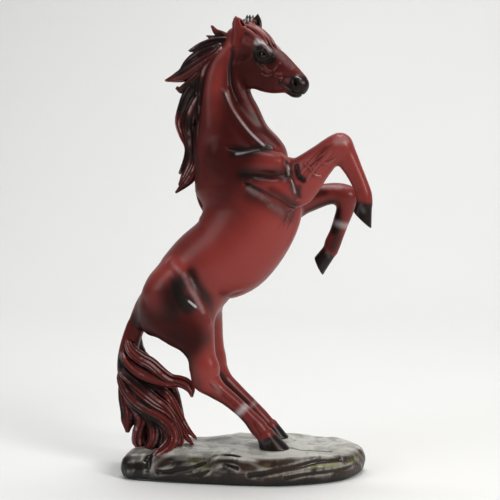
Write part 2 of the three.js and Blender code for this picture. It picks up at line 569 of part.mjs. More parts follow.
function skin(x, y, z) {
  const w = Math.abs(y);
  const armZ = y > 0 ? z + ARM_DROP * Math.max(x - WITHERS_X, 0) : z;
  let body = blend(trunk(x, y, z), neck(x, y, z), 9);
  body = blend(body, haunch(x, w, z), 12);
  body = blend(body, buttock(x, w, z), 8);
  body = blend(body, dock(x, y, z), 7);
  body = blend(body, breast(x, w, z), 9);
  body = blend(body, scapula(x, w, z), 7);
  body = blend(body, upperArm(x, w, armZ), 3.5);
  body = blend(body, Math.min(rightTriceps(x, y, z), leftTriceps(x, y, z)), 3);
  for (const depth of armCreases) body += depth(x, w, armZ);
  for (const depth of neckCreases) body += depth(x, w, z);
  const rightFore = blend(rightForearm(x, y, z), rightForeCannon(x, y, z), 4);
  const leftFore = blend(leftForearm(x, y, z), leftForeCannon(x, y, z), 4);
  const horse = Math.min(
    blend(body, blend(rightFore, hooves.rightFore(x, y, z), 1.2), 4),
    blend(body, blend(leftFore, hooves.leftFore(x, y, z), 1.2), 6),
    blend(body, blend(rightHindShank(x, y, z), hooves.rightHind(x, y, z), 1.2), 6),
    blend(body, blend(leftHindShank(x, y, z), hooves.leftHind(x, y, z), 1.2), 6),
  );
  const ears = Math.min(
    carve(rightEar(x, y, z), rightEarCup(x, y, z), 1),
    carve(leftEar(x, y, z), leftEarCup(x, y, z), 1),
  );
  return blend(blend(horse, skull(x, y, z), 3), blend(ears, tuft(x, y, z), 1.5), 3);
}

function locks(groups, softness) {
  const limbs = groups.map((stations) => limb(raised(stations), 3));
  return (x, y, z) => limbs.reduce((d, one) => blend(d, one(x, y, z), softness), FAR);
}

const mane = locks(MANE_LOCKS, 1.6);
const tail = locks([TAIL_HEART, ...TAIL_WEBS, ...TAIL_LOCKS], 1.6);

// The rock: its outline's distance meets its top in a wide round edge
const outline = smoothRun([...BASE_OUTLINE, BASE_OUTLINE[0]], 5);

function outlineDistance(x, y) {
  let best = Infinity;
  let inside = false;
  for (let k = 0; k < outline.length - 1; k++) {
    const [ax, ay] = outline[k];
    const [bx, by] = outline[k + 1];
    const [dx, dy] = [bx - ax, by - ay];
    const t = Math.min(Math.max(((x - ax) * dx + (y - ay) * dy) / (dx * dx + dy * dy), 0), 1);
    best = Math.min(best, (x - ax - t * dx) ** 2 + (y - ay - t * dy) ** 2);
    if ((ay > y) !== (by > y) && x < ax + (y - ay) * dx / dy) inside = !inside;
  }
  return inside ? -Math.sqrt(best) : Math.sqrt(best);
}

// The rock's top falls away from the middle and waves a little, its foot draws in, and a boulder ends it
const boulder = lump([-78.5, -21, 8.5], [11.8, 17, 12.2]);

function rock(x, y, z) {
  const fall = 0.0006 * (x - 10) ** 2;
  const waves = 0.9 * Math.sin(0.07 * x + 0.05 * y) + 0.4 * Math.sin(0.17 * x - 0.13 * y);
  const crown = SEAT_HEIGHT + ROCK_OVER_SEAT - fall + waves;
  const tuck = FOOT_TUCK * Math.max(FOOT_HEIGHT - z, 0) ** 2;
  return blend(carve(outlineDistance(x, y) + tuck, crown - z, ROCK_ROUNDING), boulder(x, y, z), 3);
}

// Marching tetrahedra: six to a cell, all sharing the cell's long diagonal
const BLOCK = 4;
const NEAREST_CROSSING = 0.06;
const odd = ([a, b, c, d]) => ((a > b) + (a > c) + (a > d) + (b > c) + (b > d) + (c > d)) % 2 === 1;
const CORNER_ORDERS = [
  [1, 3], [3, 2], [2, 6], [6, 4], [4, 5], [5, 1],
];

function surface(field, low, high, cell) {
  const [lowX, lowY, lowZ] = low;
  const [nx, ny, nz] = high.map((value, axis) => Math.ceil((value - low[axis]) / cell) + 1);
  const values = new Float64Array(nx * ny * nz);
  const at = (i, j, k) => i + nx * (j + ny * k);
  const far = BLOCK * cell + 2;
  const fill = (bi, bj, bk) => {
    const middle = [bi, bj, bk].map((corner, axis) => low[axis] + (corner + BLOCK / 2) * cell);
    const whole = field(...middle);
    for (let k = bk; k < Math.min(bk + BLOCK, nz); k++) {
      for (let j = bj; j < Math.min(bj + BLOCK, ny); j++) {
        for (let i = bi; i < Math.min(bi + BLOCK, nx); i++) {
          const rim = i === 0 || j === 0 || k === 0 || i === nx - 1 || j === ny - 1 || k === nz - 1;
          const d = Math.abs(whole) > far ? whole : field(lowX + i * cell, lowY + j * cell, lowZ + k * cell);
          values[at(i, j, k)] = rim ? Math.max(d, 0.1 * cell) : d;
        }
      }
    }
  };
  for (let k = 0; k < nz; k += BLOCK) {
    for (let j = 0; j < ny; j += BLOCK) {
      for (let i = 0; i < nx; i += BLOCK) fill(i, j, k);
    }
  }
  const points = [];
  const found = new Map();
  const place = (index) => [index % nx, Math.floor(index / nx) % ny, Math.floor(index / (nx * ny))];
  const crossing = (a, b) => {
    const [p, q] = a < b ? [a, b] : [b, a];
    const key = p * 8 * nx * ny + (q - p);
    if (found.has(key)) return found.get(key);
    const share = values[p] / (values[p] - values[q]);
    const t = THREE.MathUtils.clamp(share, NEAREST_CROSSING, 1 - NEAREST_CROSSING);
    const [pi, pj, pk] = place(p);
    const [qi, qj, qk] = place(q);
    points.push(
      lowX + cell * (pi + t * (qi - pi)),
      lowY + cell * (pj + t * (qj - pj)),
      lowZ + cell * (pk + t * (qk - pk)),
    );
    found.set(key, points.length / 3 - 1);
    return points.length / 3 - 1;
  };
  const triangles = [];
  const face3 = (a, b, c, flip) => (flip ? triangles.push(a, c, b) : triangles.push(a, b, c));
  for (let k = 0; k < nz - 1; k++) {
    for (let j = 0; j < ny - 1; j++) {
      for (let i = 0; i < nx - 1; i++) {
        const corner = (n) => at(i + (n & 1), j + ((n >> 1) & 1), k + ((n >> 2) & 1));
        const eight = [0, 1, 2, 3, 4, 5, 6, 7].map(corner);
        const solid = eight.filter((n) => values[n] < 0).length;
        if (solid === 0 || solid === 8) continue;
        for (const [m, n] of CORNER_ORDERS) {
          const tet = [eight[0], eight[m], eight[n], eight[7]];
          const inner = [0, 1, 2, 3].filter((v) => values[tet[v]] < 0);
          const outer = [0, 1, 2, 3].filter((v) => values[tet[v]] >= 0);
          const cut = (a, b) => crossing(tet[a], tet[b]);
          if (inner.length === 1) {
            const [a] = inner;
            const [b, c, d] = outer;
            face3(cut(a, b), cut(a, c), cut(a, d), odd([a, b, c, d]));
          } else if (inner.length === 3) {
            const [a] = outer;
            const [b, c, d] = inner;
            face3(cut(a, b), cut(a, c), cut(a, d), !odd([a, b, c, d]));
          } else if (inner.length === 2) {
            const [a, b] = inner;
            const [c, d] = outer;
            const flip = odd([a, b, c, d]);
            face3(cut(a, c), cut(a, d), cut(b, d), flip);
            face3(cut(a, c), cut(b, d), cut(b, c), flip);
          }
        }
      }
    }
  }
  return { points, triangles };
}

// Fewer triangles: the cheapest edges close up first, each to the point that fits its planes best
function simplified({ points, triangles }, target) {
  const count = points.length / 3;
  const faces = [];
  for (let i = 0; i < triangles.length; i += 3) faces.push(triangles.slice(i, i + 3));
  const around = Array.from({ length: count }, () => new Set());
  faces.forEach((face, i) => face.forEach((v) => around[v].add(i)));
  const place = (v) => [points[3 * v], points[3 * v + 1], points[3 * v + 2]];
  const normalOf = (a, b, c) => {
    const [ux, uy, uz] = [b[0] - a[0], b[1] - a[1], b[2] - a[2]];
    const [vx, vy, vz] = [c[0] - a[0], c[1] - a[1], c[2] - a[2]];
    return [uy * vz - uz * vy, uz * vx - ux * vz, ux * vy - uy * vx];
  };
  const HOLD = 0.002;
  const quadrics = Array.from({ length: count }, (_, v) => {
    const [x, y, z] = place(v);
    return [HOLD, 0, 0, -HOLD * x, HOLD, 0, -HOLD * y, HOLD, -HOLD * z, HOLD * (x * x + y * y + z * z)];
  });
  for (const face of faces) {
    const corners = face.map(place);
    const n = normalOf(...corners);
    const size = Math.hypot(...n);
    if (size < TINY) continue;
    const [a, b, c] = n.map((v) => v / size);
    const d = -(a * corners[0][0] + b * corners[0][1] + c * corners[0][2]);
    const plane = [a * a, a * b, a * c, a * d, b * b, b * c, b * d, c * c, c * d, d * d];
    for (const v of face) plane.forEach((q, i) => { quadrics[v][i] += q * size / 2; });
  }
  const costAt = (q, [x, y, z]) => x * (q[0] * x + 2 * (q[1] * y + q[2] * z + q[3]))
    + y * (q[4] * y + 2 * (q[5] * z + q[6])) + z * (q[7] * z + 2 * q[8]) + q[9];
  const best = (u, v) => {
    const q = quadrics[u].map((value, i) => value + quadrics[v][i]);
    const matrix = new THREE.Matrix3(q[0], q[1], q[2], q[1], q[4], q[5], q[2], q[5], q[7]);
    const middle = place(u).map((value, i) => (value + place(v)[i]) / 2);
    if (Math.abs(matrix.determinant()) < TINY) return { to: middle, cost: costAt(q, middle) };
    const to = new THREE.Vector3(-q[3], -q[6], -q[8]).applyMatrix3(matrix.invert()).toArray();
    const far = Math.hypot(...to.map((value, i) => value - middle[i]));
    const length = Math.hypot(...place(u).map((value, i) => value - place(v)[i]));
    return far > 1.5 * length ? { to: middle, cost: costAt(q, middle) } : { to, cost: costAt(q, to) };
  };
  const heap = [];
  const sink = (i) => {
    for (;;) {
      let small = i;
      for (const child of [2 * i + 1, 2 * i + 2]) {
        if (child < heap.length && heap[child].cost < heap[small].cost) small = child;
      }
      if (small === i) return;
      [heap[i], heap[small]] = [heap[small], heap[i]];
      i = small;
    }
  };
  const push = (item) => {
    heap.push(item);
    let i = heap.length - 1;
    while (i > 0 && heap[(i - 1) >> 1].cost > heap[i].cost) {
      [heap[i], heap[(i - 1) >> 1]] = [heap[(i - 1) >> 1], heap[i]];
      i = (i - 1) >> 1;
    }
  };
  const version = new Int32Array(count);
  const offer = (u, v) => push({ u, v, ...best(u, v), stamp: version[u] + version[v] });
  const neighbours = (v) => {
    const out = new Set();
    for (const f of around[v]) for (const w of faces[f]) if (w !== v) out.add(w);
    return out;
  };
  for (const [a, b, c] of faces) {
    if (a < b) offer(a, b);
    if (b < c) offer(b, c);
    if (c < a) offer(c, a);
  }
  let left = faces.length;
  while (left > target && heap.length > 0) {
    const cheapest = heap[0];
    const end = heap.pop();
    if (heap.length > 0) {
      heap[0] = end;
      sink(0);
    }
    const { u, v, to, stamp } = cheapest;
    if (stamp !== version[u] + version[v] || !around[u] || !around[v]) continue;
    const nearU = neighbours(u);
    const nearV = neighbours(v);
    if ([...nearU].filter((w) => nearV.has(w)).length !== 2) continue;
    const turns = [u, v].some((w) => [...around[w]].some((f) => {
      const face = faces[f];
      if (face.includes(u) && face.includes(v)) return false;
      const old = normalOf(...face.map(place));
      const now = normalOf(...face.map((n) => (n === w ? to : place(n))));
      const dot = old[0] * now[0] + old[1] * now[1] + old[2] * now[2];
      return dot < 0.3 * Math.hypot(...old) * Math.hypot(...now) || Math.hypot(...now) < 1e-4;
    }));
    if (turns) continue;
    [points[3 * u], points[3 * u + 1], points[3 * u + 2]] = to;
    quadrics[u] = quadrics[u].map((value, i) => value + quadrics[v][i]);
    for (const f of around[v]) {
      if (faces[f].includes(u)) {
        for (const w of faces[f]) if (w !== v) around[w].delete(f);
        faces[f] = null;
        left--;
      } else {
        faces[f] = faces[f].map((n) => (n === v ? u : n));
        around[u].add(f);
      }
    }
    around[v] = null;
    version[u] += 1;
    for (const w of neighbours(u)) offer(Math.min(u, w), Math.max(u, w));
  }
  const number = new Map();
  const kept = [];
  const vertices = [];
  for (const face of faces) {
    if (!face) continue;
    for (const v of face) {
      if (!number.has(v)) {
        number.set(v, vertices.length / 3);
        vertices.push(...place(v));
      }
      kept.push(number.get(v));
    }
  }
  return { points: vertices, triangles: kept };
}

// Solids: only joined and cut by the boolean library
function solidOf(geometry) {
  const bare = geometry.clone();
  bare.deleteAttribute('normal');
  bare.deleteAttribute('uv');
  const merged = mergeVertices(bare, 1e-4);
  return new wasm.Manifold(new wasm.Mesh({
    numProp: 3,
    vertProperties: new Float32Array(merged.attributes.position.array),
    triVerts: new Uint32Array(merged.index.array),
  }));
}

function solidFromFaces({ points, triangles }) {
  return new wasm.Manifold(new wasm.Mesh({
    numProp: 3,
    vertProperties: new Float32Array(points),
    triVerts: new Uint32Array(triangles),
  }));
}

function geometryOf(solid) {
  const mesh = solid.getMesh();
  const geometry = new THREE.BufferGeometry();
  geometry.setAttribute('position', new THREE.BufferAttribute(new Float32Array(mesh.vertProperties), 3));
  geometry.setIndex(new THREE.BufferAttribute(new Uint32Array(mesh.triVerts), 1));
  geometry.computeVertexNormals();
  return geometry;
}

// The largest body of a cut piece: crumbs that a cut leaves behind are chipped off
function largest(solid) {
  return solid.decompose().reduce((big, one) => (one.volume() > big.volume() ? one : big));
}

function cast(field, low, high, cell, target) {
  return solidFromFaces(simplified(surface(field, low, high, cell), target));
}

const lifted = ([x, y, z]) => [x, y, z + LIFT];
const grown = (field, by) => (x, y, z) => field(x, y, z) - by;

// A block that starts at a plane and fills the side that the plane faces
function block({ at, facing }, { depth, above, below, left, right }, setBack = 0) {
  const out = new THREE.Vector3(...facing).normalize();
  const side = new THREE.Vector3(0, 1, 0);
  const up = new THREE.Vector3().crossVectors(out, side);
  const shape = new THREE.BoxGeometry(depth, right - left, above + below);
  const middle = new THREE.Vector3(...at).setY(0)
    .addScaledVector(out, depth / 2 + setBack)
    .addScaledVector(side, (left + right) / 2)
    .addScaledVector(up, (above - below) / 2);
  shape.applyMatrix4(new THREE.Matrix4().makeBasis(out, side, up).setPosition(middle));
  return solidOf(shape);
}

// A round bar of even thickness with flat ends, centred on a place
function bar(place, along, length, radius, sides = 12) {
  const shape = new THREE.CylinderGeometry(radius, radius, length, sides);
  const turn = new THREE.Quaternion()
    .setFromUnitVectors(new THREE.Vector3(0, 1, 0), new THREE.Vector3(...along).normalize());
  return solidOf(shape.applyQuaternion(turn).translate(...place));
}

// A bar bent along a path
function bentBar(path, radius) {
  const circle = new THREE.Shape().absarc(0, 0, radius, 0, 2 * Math.PI);
  const curve = new THREE.CatmullRomCurve3(path.map((point) => new THREE.Vector3(...point)));
  const options = { extrudePath: curve, steps: 2 * path.length, curveSegments: 4 };
  return solidOf(new THREE.ExtrudeGeometry(circle, options));
}

const cutAt = ({ at, facing }) => ({ at: lifted(at), facing });
const neckCut = cutAt(NECK_CUT);
const forelegCut = cutAt(FORELEG_CUT);
const NECK_BLOCK = { depth: 90, above: 32, below: 52, left: -45, right: 45 };
const FORELEG_BLOCK = { depth: 90, above: 48, below: 95 };
const BREAST_HALF_WIDTH = 6.5;
const ALL_OVER = { depth: 120, above: 150, below: 150, left: -90, right: 90 };

function rightForelegBlock(setBack) {
  return block(forelegCut, { ...FORELEG_BLOCK, left: -50, right: -BREAST_HALF_WIDTH - setBack }, setBack);
}

function leftForelegBlock(setBack) {
  return block(forelegCut, { ...FORELEG_BLOCK, left: BREAST_HALF_WIDTH + setBack, right: 50 }, setBack);
}

const below = (height) => block({ at: [0, 0, height], facing: [0, 0, -1] }, ALL_OVER);

// Bars that hold the castings together, each with its bore
function dowel(place, along, length, diameter) {
  return {
    bar: bar(place, along, length, diameter / 2),
    bore: bar(place, along, length + 2 * JOINT_GAP, diameter / 2 + JOINT_GAP),
  };
}

function forelegDowel(place) {
  return dowel(lifted(place), forelegCut.facing, FORELEG_DOWEL_LENGTH, FORELEG_DOWEL_DIAMETER);
}

function manePin(place) {
  return dowel(lifted(place), [1, 0, 0], MANE_PIN_LENGTH, MANE_PIN_DIAMETER);
}

const neckDowel = dowel(neckCut.at, neckCut.facing, NECK_DOWEL_LENGTH, NECK_DOWEL_DIAMETER);
const rightForelegDowel = forelegDowel(FORELEG_DOWEL_PLACES.right);
const leftForelegDowel = forelegDowel(FORELEG_DOWEL_PLACES.left);
const tailPin = dowel(lifted(TAIL_PIN_PLACE.at), TAIL_PIN_PLACE.along, TAIL_PIN_LENGTH, TAIL_PIN_DIAMETER);
const tailFootPin = dowel(lifted(TAIL_FOOT_PIN_PLACE), [0, 0, 1], TAIL_PIN_LENGTH, TAIL_PIN_DIAMETER);
const upperManePin = manePin(MANE_PIN_PLACES.upper);
const lowerManePin = manePin(MANE_PIN_PLACES.lower);

// The rods, and what clamps them under the base
const BASE_BOTTOM = PAD_THICKNESS + JOINT_GAP;
const POCKET_TOP = BASE_BOTTOM + POCKET_DEPTH;
const WASHER_MIDDLE = POCKET_TOP - JOINT_GAP - WASHER_THICKNESS / 2;
const NUT_MIDDLE = WASHER_MIDDLE - WASHER_THICKNESS / 2 - JOINT_GAP - NUT_HEIGHT / 2;
const ROD_FOOT = NUT_MIDDLE - NUT_HEIGHT / 2 - ROD_TAIL;

function rodSet([hoofX, y], path) {
  const x = hoofX - ROD_SETBACK;
  const raisedPath = [[x, y, SEAT_HEIGHT], ...path.map(lifted)];
  const [endX, endY, endZ] = raisedPath[raisedPath.length - 1];
  const head = (length) => [endX - ROD_LEAN * length, endY, endZ + length];
  const whole = (extra) => [
    [x, y, ROD_FOOT - extra],
    [x, y, (ROD_FOOT + SEAT_HEIGHT) / 2],
    ...raisedPath,
    head(ROD_REACH / 2),
    head(ROD_REACH + extra),
  ];
  const ring = (radius, height, middle, sides) => bar([x, y, middle], [0, 0, 1], height, radius, sides)
    .subtract(bar([x, y, middle], [0, 0, 1], 2 * height, ROD_DIAMETER / 2 + JOINT_GAP));
  const pocketRadius = WASHER_DIAMETER / 2 + POCKET_CLEARANCE;
  return {
    rod: bentBar(whole(0), ROD_DIAMETER / 2),
    bore: bentBar(whole(2 * JOINT_GAP), ROD_DIAMETER / 2 + JOINT_GAP),
    washer: ring(WASHER_DIAMETER / 2, WASHER_THICKNESS, WASHER_MIDDLE, 16),
    nut: ring(NUT_WIDTH / Math.sqrt(3), NUT_HEIGHT, NUT_MIDDLE, 6),
    pocket: bar([x, y, POCKET_TOP / 2], [0, 0, 1], POCKET_TOP, pocketRadius, 16),
  };
}
const rightRod = rodSet(RIGHT_HIND_HOOF, RIGHT_ROD_PATH);
const leftRod = rodSet(LEFT_HIND_HOOF, LEFT_ROD_PATH);

// The base, flat underneath, with a seat for each hind hoof and a pocket under each rod
const BASE_BOX = [[-98, -50, -8], [100, 52, 36]];
const SEAT_DEPTH = 10;

function seat([x, y]) {
  return bar([x, y, SEAT_HEIGHT + SEAT_DEPTH / 2], [0, 0, 1], SEAT_DEPTH, SEAT_RADIUS, 24);
}

const base = cast(rock, ...BASE_BOX, 4, 1500)
  .subtract(below(BASE_BOTTOM))
  .subtract(seat(RIGHT_HIND_HOOF))
  .subtract(seat(LEFT_HIND_HOOF))
  .subtract(rightRod.bore)
  .subtract(leftRod.bore)
  .subtract(rightRod.pocket)
  .subtract(leftRod.pocket)
  .subtract(tailFootPin.bore);

// Castings of the horse: each is a part of the whole skin, cut half a gap from its neighbour
const half = JOINT_GAP / 2;
const horseSkin = (low, high, cell, target) => cast(skin, lifted(low), lifted(high), cell, target);
const hindCut = HIND_CUT_HEIGHT + LIFT;

const body = horseSkin([-96, -42, 78], [62, 42, 334], 3.2, 2700)
  .subtract(block(neckCut, NECK_BLOCK, -half))
  .subtract(rightForelegBlock(-half))
  .subtract(leftForelegBlock(-half))
  .subtract(below(hindCut + half))
  .subtract(neckDowel.bore)
  .subtract(rightForelegDowel.bore)
  .subtract(leftForelegDowel.bore)
  .subtract(tailPin.bore)
  .subtract(rightRod.bore)
  .subtract(leftRod.bore)
  .subtract(upperManePin.bore)
  .subtract(lowerManePin.bore);
const head = horseSkin([-26, -24, 276], [62, 26, 357], 1.7, 2200)
  .intersect(block(neckCut, NECK_BLOCK, half))
  .subtract(neckDowel.bore)
  .subtract(eyeBead(-1, JOINT_GAP))
  .subtract(eyeBead(1, JOINT_GAP));
const rightForeleg = horseSkin([36, -36, 182], [108, -3, 268], 2.1, 1000)
  .intersect(rightForelegBlock(half))
  .subtract(rightForelegDowel.bore);
const leftForeleg = horseSkin([36, 3, 142], [96, 36, 240], 2.1, 900)
  .intersect(leftForelegBlock(half))
  .subtract(leftForelegDowel.bore);
const rightHindLeg = horseSkin([-50, -34, 18], [48, -1, 96], 2.1, 900)
  .intersect(below(hindCut - half))
  .subtract(rightRod.bore);
const leftHindLeg = horseSkin([-50, 1, 18], [44, 34, 96], 2.1, 900)
  .intersect(below(hindCut - half))
  .subtract(leftRod.bore);

// The mane and the tail are cut by the horse and the rock, each grown by a little more than the gap
const grownHorse = cast(grown(skin, GROWTH), lifted([-98, -44, 20]), lifted([60, 44, 345]), 3.2, 6000);
const grownRock = cast(grown(rock, GROWTH), ...BASE_BOX, 4, 3000);
const hangingMane = cast(mane, lifted([-68, -16, 198]), lifted([4, 14, 350]), 1.6, 1400)
  .subtract(grownHorse)
  .subtract(upperManePin.bore)
  .subtract(lowerManePin.bore);
const hangingTail = cast(tail, lifted([-112, -36, 6]), lifted([-26, 28, 140]), 2, 2400)
  .subtract(grownHorse)
  .subtract(grownRock)
  .subtract(tailPin.bore)
  .subtract(tailFootPin.bore);

function eyeBead(side, extra) {
  const bead = new THREE.SphereGeometry(1, 12, 8).rotateX(Math.PI / 2);
  const radii = [EYE_RADIUS + extra, EYE_DEPTH + extra, EYE_RADIUS + extra];
  bead.scale(...radii).translate(EYE[0], side * EYE[1], EYE[2]).applyMatrix4(headFrame);
  return solidOf(bead);
}

const padOutline = smoothRun([...BASE_OUTLINE, BASE_OUTLINE[0]], 2).slice(0, -1)
  .map(([x, y]) => new THREE.Vector2(x, y))
  .map((point) => point.multiplyScalar(1 - PAD_INSET / point.length()));
const padOptions = { depth: PAD_THICKNESS, bevelEnabled: false };
const pad = solidOf(new THREE.ExtrudeGeometry(new THREE.Shape(padOutline), padOptions));

// Materials
const lacquer = { color: 0x6e2220, roughness: 0.25, metalness: 0 };
const black = { color: 0x0c0b0c, roughness: 0.1, metalness: 0 };
const steel = { color: 0xb8bbbf, roughness: 0.35, metalness: 1 };
const rockPaint = { color: 0x3d3a36, roughness: 0.45, metalness: 0 };
const felt = { color: 0x2c3a30, roughness: 0.95, metalness: 0 };

const figurine = new THREE.Group();
function add(name, solid, material) {
  const mesh = new THREE.Mesh(geometryOf(solid), new THREE.MeshStandardMaterial(material));
  mesh.name = name;
  figurine.add(mesh);
}

add('base_pad', pad, felt);
add('base_casting', largest(base), rockPaint);
add('body_casting', largest(body), lacquer);
add('head_casting', largest(head), lacquer);
add('right_eye', eyeBead(-1, 0), black);
add('left_eye', eyeBead(1, 0), black);
add('right_foreleg_casting', largest(rightForeleg), lacquer);
add('left_foreleg_casting', largest(leftForeleg), lacquer);
add('right_hind_leg_casting', largest(rightHindLeg), lacquer);
add('left_hind_leg_casting', largest(leftHindLeg), lacquer);
add('mane_casting', largest(hangingMane), lacquer);
add('tail_casting', largest(hangingTail), lacquer);
add('right_leg_rod', rightRod.rod, steel);
add('left_leg_rod', leftRod.rod, steel);
add('right_rod_washer', rightRod.washer, steel);
add('left_rod_washer', leftRod.washer, steel);
add('right_rod_nut', rightRod.nut, steel);
add('left_rod_nut', leftRod.nut, steel);
add('neck_dowel', neckDowel.bar, steel);
add('right_foreleg_dowel', rightForelegDowel.bar, steel);
add('left_foreleg_dowel', leftForelegDowel.bar, steel);
add('tail_pin', tailPin.bar, steel);
add('tail_foot_pin', tailFootPin.bar, steel);
add('upper_mane_pin', upperManePin.bar, steel);
add('lower_mane_pin', lowerManePin.bar, steel);

export default figurine;
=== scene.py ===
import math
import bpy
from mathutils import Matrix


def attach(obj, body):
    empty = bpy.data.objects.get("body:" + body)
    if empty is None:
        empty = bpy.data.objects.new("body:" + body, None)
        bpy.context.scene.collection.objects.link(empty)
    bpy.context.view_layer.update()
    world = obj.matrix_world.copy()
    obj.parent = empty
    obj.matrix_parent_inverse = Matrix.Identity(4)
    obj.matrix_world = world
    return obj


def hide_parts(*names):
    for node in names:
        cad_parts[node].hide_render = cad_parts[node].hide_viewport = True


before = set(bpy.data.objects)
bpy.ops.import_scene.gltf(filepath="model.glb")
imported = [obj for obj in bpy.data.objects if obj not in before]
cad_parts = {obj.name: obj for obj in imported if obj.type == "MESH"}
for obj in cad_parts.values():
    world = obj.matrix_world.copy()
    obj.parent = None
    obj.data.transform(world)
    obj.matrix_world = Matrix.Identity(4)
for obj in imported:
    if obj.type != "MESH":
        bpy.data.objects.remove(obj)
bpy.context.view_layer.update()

# A rearing horse in painted resin on a rock base. The castings are sculpted as fields in
# millimetres: negative inside, positive outside. +X is the way the horse faces, +Y its left side.
from concurrent.futures import ThreadPoolExecutor

import bmesh
import bpy
import numpy as np
from mathutils import Matrix, Vector

MM = 0.001
FAR = 1e3
TINY = 1e-9
DRAW = np.random.default_rng(7)

# Sculpting tools

# A sweep's least half size, a line's reach in widths of itself, and the steps between two of its stations
THINNEST = 0.05
LINE_REACH = 2.6
LINE_STEPS = 4
# Only blocks of cells that the surface may pass through are sculpted: a block's side in cells, how far from
# its middle in sides and in millimetres the surface may be, and how many points are worked out at once
BLOCK = 8
BLOCK_REACH = 0.9
BLOCK_MARGIN = 2
CHUNK = 120000
COARSENING = 1.0
# How far round a vertex the surface is felt, its longest move onto the surface in cells, and the least
# steepness that the move is worked out with
FEELER = 0.6
LONGEST_MOVE = 0.6
LEAST_STEEPNESS = 0.25


def smooth_run(stations, steps):
    """A smooth curve through stations, with a number of steps between each pair."""
    stations = np.asarray(stations, float)
    first = 2 * stations[0] - stations[1]
    last = 2 * stations[-1] - stations[-2]
    points = np.vstack([first, stations, last])
    share = np.linspace(0, 1, steps, endpoint=False)[:, None]
    spans = []
    for before, start, end, after in zip(points, points[1:], points[2:], points[3:]):
        square = 2 * before - 5 * start + 4 * end - after
        cube = 3 * start - before - 3 * end + after
        spans.append(0.5 * (2 * start + (end - before) * share + square * share ** 2 + cube * share ** 3))
    return np.vstack(spans + [stations[-1:]])


def filled(stations):
    """Stations with both half sizes; one that gives only one half size is round."""
    both = [[*station, station[-1]] if len(station) == 4 else station for station in stations]
    return np.array(both, float)


def unit(vectors):
    return vectors / np.linalg.norm(vectors, axis=-1, keepdims=True)


def smooth_min(a, b, radius):
    overlap = np.maximum(radius - np.abs(a - b), 0) / radius
    return np.minimum(a, b) - overlap * overlap * radius / 4


def smooth_max(a, b, radius):
    return -smooth_min(-a, -b, radius)


class Sweep:
    """An oval section swept through stations: x, y, z, half thickness and, where it differs, half width."""

    def __init__(self, stations, steps=5, reach=14.0):
        run = smooth_run(filled(stations), steps)
        self.middle, self.radii = run[:, :3], np.maximum(run[:, 3:5], THINNEST)
        heading = unit(self.middle[1:] - self.middle[:-1])
        self.heading = unit(np.vstack([heading[:1], heading[1:] + heading[:-1], heading[-1:]]))
        side = np.array([0.0, 1.0, 0.0])
        self.side = unit(side - (self.heading @ side)[:, None] * self.heading)
        self.normal = np.cross(self.heading, self.side)
        margin = self.radii.max() + reach
        self.low, self.high = self.middle.min(0) - margin, self.middle.max(0) + margin

    def near(self, points):
        return np.flatnonzero(((points > self.low) & (points < self.high)).all(1))

    def at(self, points):
        best = np.full(len(points), FAR)
        last = len(self.middle) - 2
        ahead = (points - self.middle[0]) @ self.heading[0]
        for k in range(last + 1):
            behind, ahead = ahead, (points - self.middle[k + 1]) @ self.heading[k + 1]
            use = (behind >= 0) & (ahead <= 0)
            if k == 0:
                use |= behind < 0
            if k == last:
                use |= ahead > 0
            chosen = np.flatnonzero(use)
            if len(chosen) == 0:
                continue
            past, short = behind[chosen], ahead[chosen]
            share = np.clip(past / np.where(past - short > TINY, past - short, 1.0), 0, 1)
            share = np.where(past < 0, 0, np.where(short > 0, 1, share))[:, None]
            rest = 1 - share
            away = points[chosen] - self.middle[k] * rest - self.middle[k + 1] * share
            thick, wide = (self.radii[k] * rest + self.radii[k + 1] * share).T
            up = (away * (self.normal[k] * rest + self.normal[k + 1] * share)).sum(1) / thick
            out = (away * (self.side[k] * rest + self.side[k + 1] * share)).sum(1) / wide
            end = np.minimum(thick, wide)
            over = np.where(past < 0, past, np.where(short > 0, short, 0)) / end
            size = np.sqrt(up * up + out * out + over * over) + TINY
            slope = np.sqrt((up / thick) ** 2 + (out / wide) ** 2 + (over / end) ** 2) + TINY
            best[chosen] = np.minimum(best[chosen], (size - 1) * size / slope)
        return best

    def __call__(self, points):
        out = np.full(len(points), FAR)
        near = self.near(points)
        if len(near):
            out[near] = self.at(points[near])
        return out


class Lump:
    """An oval lump, tipped about the side axis by an angle in degrees."""

    def __init__(self, centre, radii, tip=0.0):
        self.centre, self.radii = np.asarray(centre, float), np.asarray(radii, float)
        self.cos, self.sin = math.cos(math.radians(tip)), math.sin(math.radians(tip))

    def __call__(self, points):
        x, y, z = (points - self.centre).T
        away = np.stack([x * self.cos + z * self.sin, y, z * self.cos - x * self.sin], 1) / self.radii
        size = np.sqrt((away * away).sum(1)) + TINY
        slope = np.sqrt(((away / self.radii) ** 2).sum(1)) + TINY
        return (size - 1) * size / slope


class Line:
    """A soft line on the surface: the height is full on the line and fades over the width."""

    def __init__(self, width, height, *stations):
        self.width, self.height = width, height
        self.run = smooth_run(stations, LINE_STEPS)
        margin = LINE_REACH * width
        self.low, self.high = self.run.min(0) - margin, self.run.max(0) + margin

    def __call__(self, points):
        out = np.zeros(len(points))
        near = np.flatnonzero(((points > self.low) & (points < self.high)).all(1))
        if len(near) == 0:
            return out
        best = np.full(len(near), FAR ** 2)
        for a, b in zip(self.run[:-1], self.run[1:]):
            step = b - a
            away = points[near] - a
            share = np.clip(away @ step / max(step @ step, TINY), 0, 1)
            best = np.minimum(best, ((away - share[:, None] * step) ** 2).sum(1))
        out[near] = self.height * np.exp(-best / self.width ** 2)
        return out


def total(lines, points):
    return sum((line(points) for line in lines), np.zeros(len(points)))


def strongest(lines, points):
    out = np.zeros(len(points))
    for line in lines:
        out = np.maximum(out, line(points))
    return out


